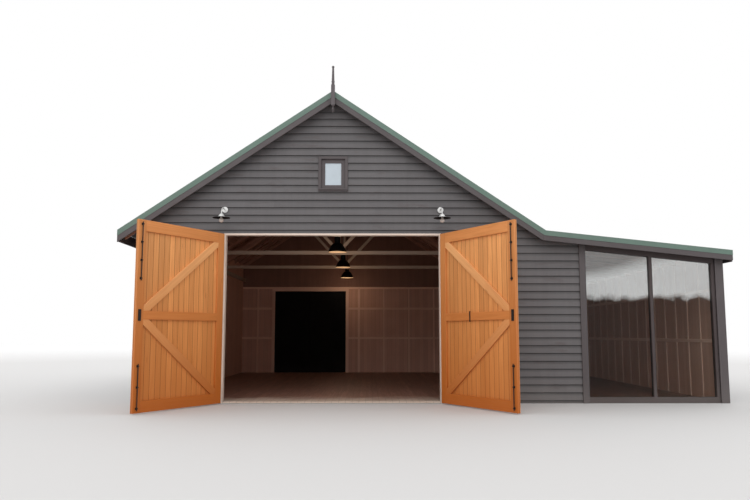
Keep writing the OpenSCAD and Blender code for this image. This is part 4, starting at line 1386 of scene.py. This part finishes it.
@dataclass
class Inside:
    """The trusses, rafters, lining boards, floor, and the black doors at the back."""

    floor_board: float = 0.135
    floor_gap: float = 0.0008
    floor_sink: float = 0.0002
    floor_eased: float = 0.0025
    margin: float = 0.05
    lining: float = 0.02
    clear: float = 0.001
    eased: float = 0.003
    rounded: float = 0.004
    proud: float = 0.022
    batten_proud: float = 0.0176
    wide_proud: float = 0.0286
    casing_proud: float = 0.0264
    rail: float = 0.07
    rail_heights: tuple[float, ...] = (1.23, 2.26, 2.985)
    batten: float = 0.045
    battens: tuple[float, ...] = (-3.16, 1.27, 2.15, 3.03)
    wide_batten: tuple[float, float] = (0.355, 0.43)
    casing: float = 0.1
    side_step: float = 0.62
    side_set_back: float = 0.004
    ledge: float = 0.14
    ledge_thick: float = 0.02
    ledge_ends: tuple[float, float] = (0.03, 0.064)
    ledge_margin: float = 0.06

    def trusses(self) -> None:
        """Makes the painted trusses and the dark timbers over them."""
        pale = ("tie_beams", "king_posts", "truss_struts", "wall_plates", "hall_posts", "hall_beam")
        dark = ("principal_rafters", "ridge_and_purlins", "rafters", "lean_to_rafters")
        for seed, node in enumerate(pale):
            timbers(node + "_timbers", [node], CREAM, "cream_paint", self.rounded, 41 + seed)
        for seed, node in enumerate(dark):
            timbers(node + "_timbers", [node], CEILING_STAIN_PAINTED_LIGHT, "dark_timber", self.eased, 51 + seed)

    def floor(self) -> None:
        """Makes the floor boards."""
        low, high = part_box("floor_slab")
        maker = Maker("floor_boards", seed=62)
        n = round((high.x - low.x) / self.floor_board)
        step = (high.x - low.x) / n
        for i in range(n):
            x = low.x + i * step
            start = (x + self.floor_gap, low.y - self.margin, low.z - self.margin)
            end = (x + step - self.floor_gap, high.y + self.margin, high.z - self.floor_sink)
            maker.box(start, end, chamfer=self.floor_eased, along=Axis.Y)
        carved(maker, "floor_slab", FLOOR)

    def back_trim(self) -> None:
        """Makes the rails, battens and door casing on the back wall's lining."""
        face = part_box("back_wall")[0].y - self.lining
        door_low, door_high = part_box("back_doors")
        casing = (door_low.x - self.casing, door_high.x + self.casing)
        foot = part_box("floor_slab")[1].z
        maker = Maker("back_wall_trim", seed=63)

        def strip(x0: float, x1: float, z0: float, z1: float, along: Axis, proud: float) -> None:
            """Adds one strip on the wall's face."""
            maker.box((x0, face - proud, z0), (x1, face, z1), chamfer=self.eased, along=along)

        top = self.rail_heights[-1]
        hall = (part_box("wall_lining")[0].x + self.clear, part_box("hall_posts")[1].x)
        for z in self.rail_heights:
            spans = [hall]
            if z < door_high.z:
                spans = [(hall[0], casing[0]), (casing[1], hall[1])]
            for x0, x1 in spans:
                strip(x0, x1, z - self.rail / 2, z + self.rail / 2, Axis.X, self.proud)
        for x in self.battens:
            half = self.batten / 2
            strip(x - half, x + half, foot, top, Axis.Z, self.batten_proud)
        strip(*self.wide_batten, foot, top, Axis.Z, self.wide_proud)
        for x in (casing[0], door_high.x):
            strip(x, x + self.casing, foot, door_high.z, Axis.Z, self.casing_proud)
        strip(*casing, door_high.z, top - self.rail / 2, Axis.X, self.casing_proud)
        maker.piece([BATTEN], "cream_paint")

    def side_trim(self) -> None:
        """Makes the rails and battens on the lean-to's outer wall."""
        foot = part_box("floor_slab")[1].z
        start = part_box("front_wall_right")[1].y + self.lining
        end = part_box("back_wall")[0].y - self.lining
        maker = Maker("lean_to_wall_trim", seed=64)
        x1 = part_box("wall_lining")[1].x - self.lining
        x0 = x1 - self.proud
        half = self.rail / 2
        for z in self.rail_heights:
            maker.box((x0, start, z - half), (x1, end, z + half), chamfer=self.eased, along=Axis.Y)
        top = self.rail_heights[-1] + half
        count = round((end - start) / self.side_step)
        for i in range(1, count):
            y = start + (end - start) * i / count
            corner = (x0 + self.side_set_back, y - self.batten / 2, foot)
            maker.box(corner, (x1, y + self.batten / 2, top), chamfer=self.eased, along=Axis.Z)
        maker.piece([BATTEN], "cream_paint")

    def back_doors(self) -> None:
        """Makes the two black leaves, and the three ledges on each leaf's outer face."""
        nodes = ["back_doors"]
        timbers("back_door_leaves", nodes, BLACK_DOORS, "black_paint", self.rounded, 72)
        low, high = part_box("back_doors")
        face = min(box[1].y for box in solid_boxes("back_doors"))
        maker = Maker("back_door_ledges", seed=73)
        middle = (low.x + high.x) / 2
        side, meeting = self.ledge_ends
        levels = (
            low.z + self.ledge_margin, (low.z + high.z - self.ledge) / 2,
            high.z - self.ledge_margin - self.ledge,
        )
        for x0, x1 in ((low.x + side, middle - meeting), (middle + meeting, high.x - side)):
            for z in levels:
                end = (x1, face + self.ledge_thick, z + self.ledge)
                maker.box((x0, face, z), end, chamfer=self.eased)
        maker.piece([BLACK_DOORS], "black_paint")

    def build(self) -> None:
        """Makes everything inside."""
        self.trusses()
        dress_node("wall_lining", LINING_WITH_WARM_LIGHT)
        self.floor()
        self.back_trim()
        self.side_trim()
        nodes = ["doorway_jambs", "doorway_head"]
        timbers("doorway_linings", nodes, JAMB, "cream_paint", self.rounded, 71)
        self.back_doors()
        dress_node("threshold", STEP)


@dataclass
class Door:
    """One door leaf: upright V-jointed boards behind a frame, with its straps and bolts."""

    side: str
    board: float = 0.128
    vee: float = 0.0036
    gap: float = 0.0005
    eased: float = 0.004
    strap: float = 0.006
    bolt: float = 0.011
    bolt_rise: float = 0.006
    bolt_sink: float = 0.002
    bolt_steps: int = 14
    bolt_shares: tuple[float, ...] = (0.09, 0.32, 0.55, 0.78, 0.968)
    matrix: Matrix = field(init=False)

    def __post_init__(self) -> None:
        """Works out the leaf's own axes: X to its free edge, Y through it, Z up."""
        joint = next(j for j in frame["joints"] if j["child"] == self.side + "_door")
        sign = -1 if self.side == "left" else 1
        open_angle = math.radians(abs(joint["range_deg"][0]))
        along = Vector((-sign * math.cos(open_angle), -math.sin(open_angle), 0))
        through = Vector((-sign * math.sin(open_angle), math.cos(open_angle), 0))
        self.matrix = axes(along, through, (0, 0, 1), joint["pos_m"])

    def local(self, node: str) -> Box:
        """The box of a node in the leaf's own axes."""
        back = self.matrix.inverted()
        return box_of(back @ v.co for v in frame["nodes"][node].data.vertices)

    def boards(self) -> None:
        """Makes the upright boards."""
        node = self.side + "_door_boards"
        low, high = self.local(node)
        count = round((high.x - low.x) / self.board)
        step = (high.x - low.x) / count
        maker = Maker(self.side + "_door_planks", seed=81 if self.side == "left" else 82)
        for i in range(count):
            a = low.x + i * step + self.gap * (i > 0)
            b = low.x + (i + 1) * step - self.gap * (i < count - 1)
            maker.box((a, low.y, low.z), (b, high.y, high.z), self.matrix, self.vee, Axis.Z, 1)
        maker.piece([HONEY, HONEY_JOINT], "honey_timber", [node], self.side + "_door")

    def bolt_heads(self) -> None:
        """Makes the round bolt heads along the three straps."""
        maker = Maker(self.side + "_strap_bolts", seed=83)
        face = self.local(self.side + "_door_boards")[0].y - self.strap
        dome = [(self.bolt * math.cos(a), self.bolt_rise * math.sin(a)) for a in (0, 0.5, 1.0)]
        head = [(0, -self.bolt_sink), (self.bolt, -self.bolt_sink), *dome, (0, self.bolt_rise)]
        upright = Matrix.Rotation(math.radians(90), 4, "X")
        for low, high in solid_boxes(self.side + "_door_straps", self.matrix.inverted()):
            for share in self.bolt_shares:
                spot = Vector((low.x + (high.x - low.x) * share, face, (low.z + high.z) / 2))
                place = self.matrix @ Matrix.Translation(spot) @ upright
                maker.turned(head, place, self.bolt_steps)
        maker.piece([IRON], "black_iron", (), self.side + "_door", 40)

    def build(self) -> None:
        """Makes the leaf."""
        self.boards()
        for seed, (part, finish) in enumerate((
            ("stiles", FRAME_HONEY), ("rails", FRAME_HONEY), ("braces", BRACE_HONEY),
        ), 84):
            node = f"{self.side}_door_{part}"
            timbers(node + "_timbers", [node], finish, "honey_timber", self.eased, seed)
        self.bolt_heads()
        for part in ("straps", "bolts"):
            dress_node(f"{self.side}_door_{part}", IRON)


def moved(points: Profile, out: float, up: float) -> list[tuple[float, float]]:
    """A turned profile's points moved outwards and upwards."""
    return [(radius + out, height + up) for radius, height in points]


@dataclass
class Lamps:
    """The two lamps on the front wall and the hanging lamps inside."""

    steps: int = 64
    rim: Profile = ((-0.0015, 0), (0, 0.002), (-0.001, 0.005))
    roll: float = 0.006
    dish: float = 0.035
    dish_rise: float = 0.027
    dish_power: float = 1.4
    dish_steps: int = 10
    dish_metal: tuple[float, float] = (-0.002, -0.0025)
    pale_from: int = 6
    pale_levels: tuple[float, float] = (0.0002, 0.0012)
    collar_foot: float = 0.06
    collar_ease: float = 0.001
    collar_top: float = 0.03
    collar_head: Profile = ((0.004, -0.009), (0, -0.005), (-0.006, 0))
    bell: float = 0.225
    bell_steps: Profile = (
        (0.985, 0.04), (0.9, 0.27), (0.77, 0.52), (0.64, 0.72), (0.5, 0.87), (0.335, 0.955),
    )
    bell_rim: Profile = ((-0.001, 0), (0, 0.003), (-0.001, 0.007))
    bell_metal: float = 0.002
    white: tuple[float, float] = (0.0024, 0.0032)
    white_ease: tuple[float, float] = (0.0002, 0.001)
    curve_steps: int = 4
    neck: float = 0.07
    neck_height: float = 0.14
    neck_head: Profile = ((0, -0.02), (-0.01, -0.008))
    stem: float = 0.008
    stem_foot: float = 0.004
    power: float = 9.0
    light_drop: float = 0.45
    warm: Colour = (1.0, 0.76, 0.52)

    def centres(self, node: str) -> list[tuple[Matrix, float, float]]:
        """The foot of the axis of each solid of a node, with its radius and height."""
        found = []
        for low, high in solid_boxes(node):
            middle = (low + high) / 2
            place = Matrix.Translation((middle.x, middle.y, low.z))
            found.append((place, (high.x - low.x) / 2, high.z - low.z))
        return found

    def wall_shade(self, maker: Maker, place: Matrix, radius: float, height: float) -> None:
        """Makes one wall lamp's shade: a flat dish with a rolled rim under a cone-shaped collar.

        Args:
            maker: What it is added to.
            place: Its rim's centre.
            radius: Its rim's radius.
            height: Its height with its collar.
        """
        foot, edge = self.collar_foot, radius - self.roll
        over = []
        for i in range(self.dish_steps + 1):
            t = i / self.dish_steps
            rise = self.dish_rise * t ** self.dish_power
            over.append((edge - (edge - foot) * t, self.roll + rise))
        under = moved(over, *self.dish_metal)
        rim = moved(self.rim, radius, 0)
        dish = [(0, under[-1][1]), *reversed(under), *rim, *over, (0, over[-1][1])]
        # Slot 1 is the near-black painted shadow of the dish.
        maker.turned(dish, place, self.steps, 1)
        inner, outer = (moved(over[self.pale_from:], 0, up) for up in self.pale_levels)
        outer += [(foot - self.collar_ease, self.dish + self.roll)]
        outer += [*moved(self.collar_head, self.collar_top, height), (0, height)]
        maker.turned([(0, inner[-1][1]), *reversed(inner), *outer], place, self.steps)

    def pendant(self, maker: Maker, place: Matrix, radius: float, height: float) -> None:
        """Makes one hanging lamp: a black spun bell, white inside, on a thin stem.

        Args:
            maker: What it is added to.
            place: Its rim's centre.
            radius: Its rim's radius.
            height: Its height with its stem.
        """
        knots = [(radius * r, self.bell * z) for r, z in self.bell_steps]
        curve = smooth_curve(knots, self.curve_steps)
        top = self.bell + self.neck_height

        def layer(depth: float, ease: float = 0.0, foot: float = 0.0) -> Profile:
            """The bell's curve that much further in, from its rim to its axis."""
            end = depth + ease
            return [(radius - end, foot), *moved(curve, -depth, 0), (0, curve[-1][1] - end)]

        outside = [*moved(self.bell_rim, radius, 0), *curve, (self.neck, self.bell)]
        outside += moved(self.neck_head, self.neck, top)
        outside += [(self.stem * 2, top), (self.stem, top + self.stem_foot)]
        outside += [(self.stem, height), (0, height)]
        maker.turned([*reversed(layer(self.bell_metal)), *outside], place, self.steps)
        near, far = (layer(depth, *self.white_ease) for depth in self.white)
        maker.turned([*reversed(near), *far], place, self.steps, 1)

    def shades(self) -> None:
        """Makes all the shades."""
        rows = (
            ("wall_lamp_shades", self.wall_shade, [ZINC, DISH_PAINTED_SHADOW], "zinc"),
            ("pendant_lamps", self.pendant, [ENAMEL, SHADE_INSIDE], "black_enamel"),
        )
        for node, make, finishes, slot in rows:
            maker = Maker(node + "_spun", seed=91)
            for place, radius, height in self.centres(node):
                make(maker, place, radius, height)
            maker.piece(finishes, slot, [node], smooth=35)

    def lights(self) -> None:
        """Lights the hanging lamps."""
        for i, (place, radius, _) in enumerate(self.centres("pendant_bulbs")):
            data = bpy.data.lights.new(f"hanging lamp light {i}", "POINT")
            data.energy = self.power
            data.color = self.warm
            data.shadow_soft_size = radius
            light = scene_object(data.name, data)
            light.location = place.translation - Vector((0, 0, self.light_drop))
            light.visible_camera = False

    def build(self) -> None:
        """Makes all the lamps."""
        self.shades()
        for node, finish in (
            ("wall_lamp_arms", ZINC), ("wall_lamp_bulbs", BULB),
            ("pendant_bulbs", LIT_BULB), ("hinge_pins", IRON),
        ):
            dress_node(node, finish)
        self.lights()


def seen_directly(tree: Tree) -> Socket:
    """A mask of the rays from the camera, from reflections and through glass."""
    rays = tree.add("LightPath").outputs
    seen = tree.math("MAXIMUM", rays["Is Camera Ray"], rays["Is Glossy Ray"])
    return tree.math("MAXIMUM", seen, rays["Is Transmission Ray"])


@dataclass
class Studio:
    """Pale floor, soft lamps, white background and the camera at the photograph's view."""

    lens: float = 35.0
    eye_height: float = 1.371
    eye_x: float = 0.731
    eye_back: float = 14.73
    tilt: float = 6.573
    turn: float = -0.507
    reach: float = 500.0
    floor_half: float = 150.0
    floor_drop: float = 0.001
    floor_colour: Colour = (0.62, 0.61, 0.6)
    floor_far: Colour = (0.9, 0.9, 0.9)
    floor_fade: tuple[float, float] = (22, 75)
    sky: float = 0.74
    sky_colour: Colour = (0.97, 0.98, 1.0)
    lamps: tuple[tuple[str, float, float, float, float], ...] = (
        ("key", 1.0, 55, -10, 34),
        ("right fill", 0.6, 80, 78, 28),
        ("left fill", 0.6, 80, -98, 28),
        ("back fill", 1.0, 80, 172, 30),
    )

    def camera(self) -> None:
        """Sets the camera."""
        data = bpy.data.cameras.new("camera")
        data.lens = self.lens
        data.clip_end = self.reach
        camera = scene_object("camera", data)
        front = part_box("front_wall_left")[0].y
        camera.location = (self.eye_x, front - self.eye_back, self.eye_height)
        camera.rotation_euler = (math.radians(90 + self.tilt), 0, math.radians(self.turn))
        bpy.context.scene.camera = camera

    def floor(self) -> None:
        """Lays the floor, which turns white far from the barn."""
        half = self.floor_half
        mesh = bpy.data.meshes.new("studio_floor")
        corners = [(-half, -half, 0), (half, -half, 0), (half, half, 0), (-half, half, 0)]
        mesh.from_pydata(corners, [], [(0, 1, 2, 3)])
        floor = scene_object("studio_floor", mesh)
        floor.location.z = -self.floor_drop
        tree, shader = Finish("studio floor", self.floor_colour, 0.9).start()
        length = tree.add("VectorMath", {0: place_of(tree)}, operation="LENGTH").outputs["Value"]
        far = tree.spread(length, *self.floor_fade)
        tree.fill(shader, {"Base Color": tree.blend(far, self.floor_colour, self.floor_far)})
        glow = tree.add("Emission", {"Color": (1, 1, 1), "Strength": 1.0})
        white = tree.times(far, seen_directly(tree))
        mix = tree.add("MixShader", {0: white, 1: shader.outputs[0], 2: glow.outputs[0]})
        tree.fill(tree.tree.nodes["Material Output"], {"Surface": mix.outputs[0]})
        mesh.materials.append(bpy.data.materials["studio floor"])

    def world(self) -> None:
        """Sets the soft light from all round and the white background."""
        world = bpy.data.worlds.new("studio")
        bpy.context.scene.world = world
        world.use_nodes = True
        tree = Tree(world.node_tree)
        soft = world.node_tree.nodes["Background"]
        tree.fill(soft, {"Color": self.sky_colour, "Strength": self.sky})
        white = tree.add("Background", {"Color": (1, 1, 1), "Strength": 1.0})
        inputs = {0: seen_directly(tree), 1: soft.outputs[0], 2: white.outputs[0]}
        mix = tree.add("MixShader", inputs)
        tree.fill(world.node_tree.nodes["World Output"], {"Surface": mix.outputs[0]})

    def lamp(self, name: str, strength: float, angle: float, azimuth: float, height: float) -> None:
        """Adds a soft distant lamp.

        Args:
            name: The lamp's name.
            strength: Its strength.
            angle: How wide it is, in degrees.
            azimuth: Where it is, in degrees from the front towards +X.
            height: How high it is, in degrees.
        """
        data = bpy.data.lights.new(name, "SUN")
        data.energy = strength
        data.angle = math.radians(angle)
        a, e = math.radians(azimuth), math.radians(height)
        source = Vector((math.sin(a) * math.cos(e), -math.cos(a) * math.cos(e), math.sin(e)))
        scene_object(name, data).rotation_euler = source.to_track_quat("Z", "Y").to_euler()

    def build(self) -> None:
        """Makes the studio."""
        self.camera()
        self.floor()
        self.world()
        for row in self.lamps:
            self.lamp(*row)
        bpy.context.scene.view_settings.view_transform = "Standard"


def main() -> None:
    """Builds the barn's looks and its studio."""
    logging.basicConfig(level=logging.INFO, format="%(name)s: %(message)s")
    for part in (Studio(), Walls(), Trim(), Roof(), Inside(), Door("left"), Door("right"), Lamps()):
        part.build()


if __name__ == "__main__":
    main()
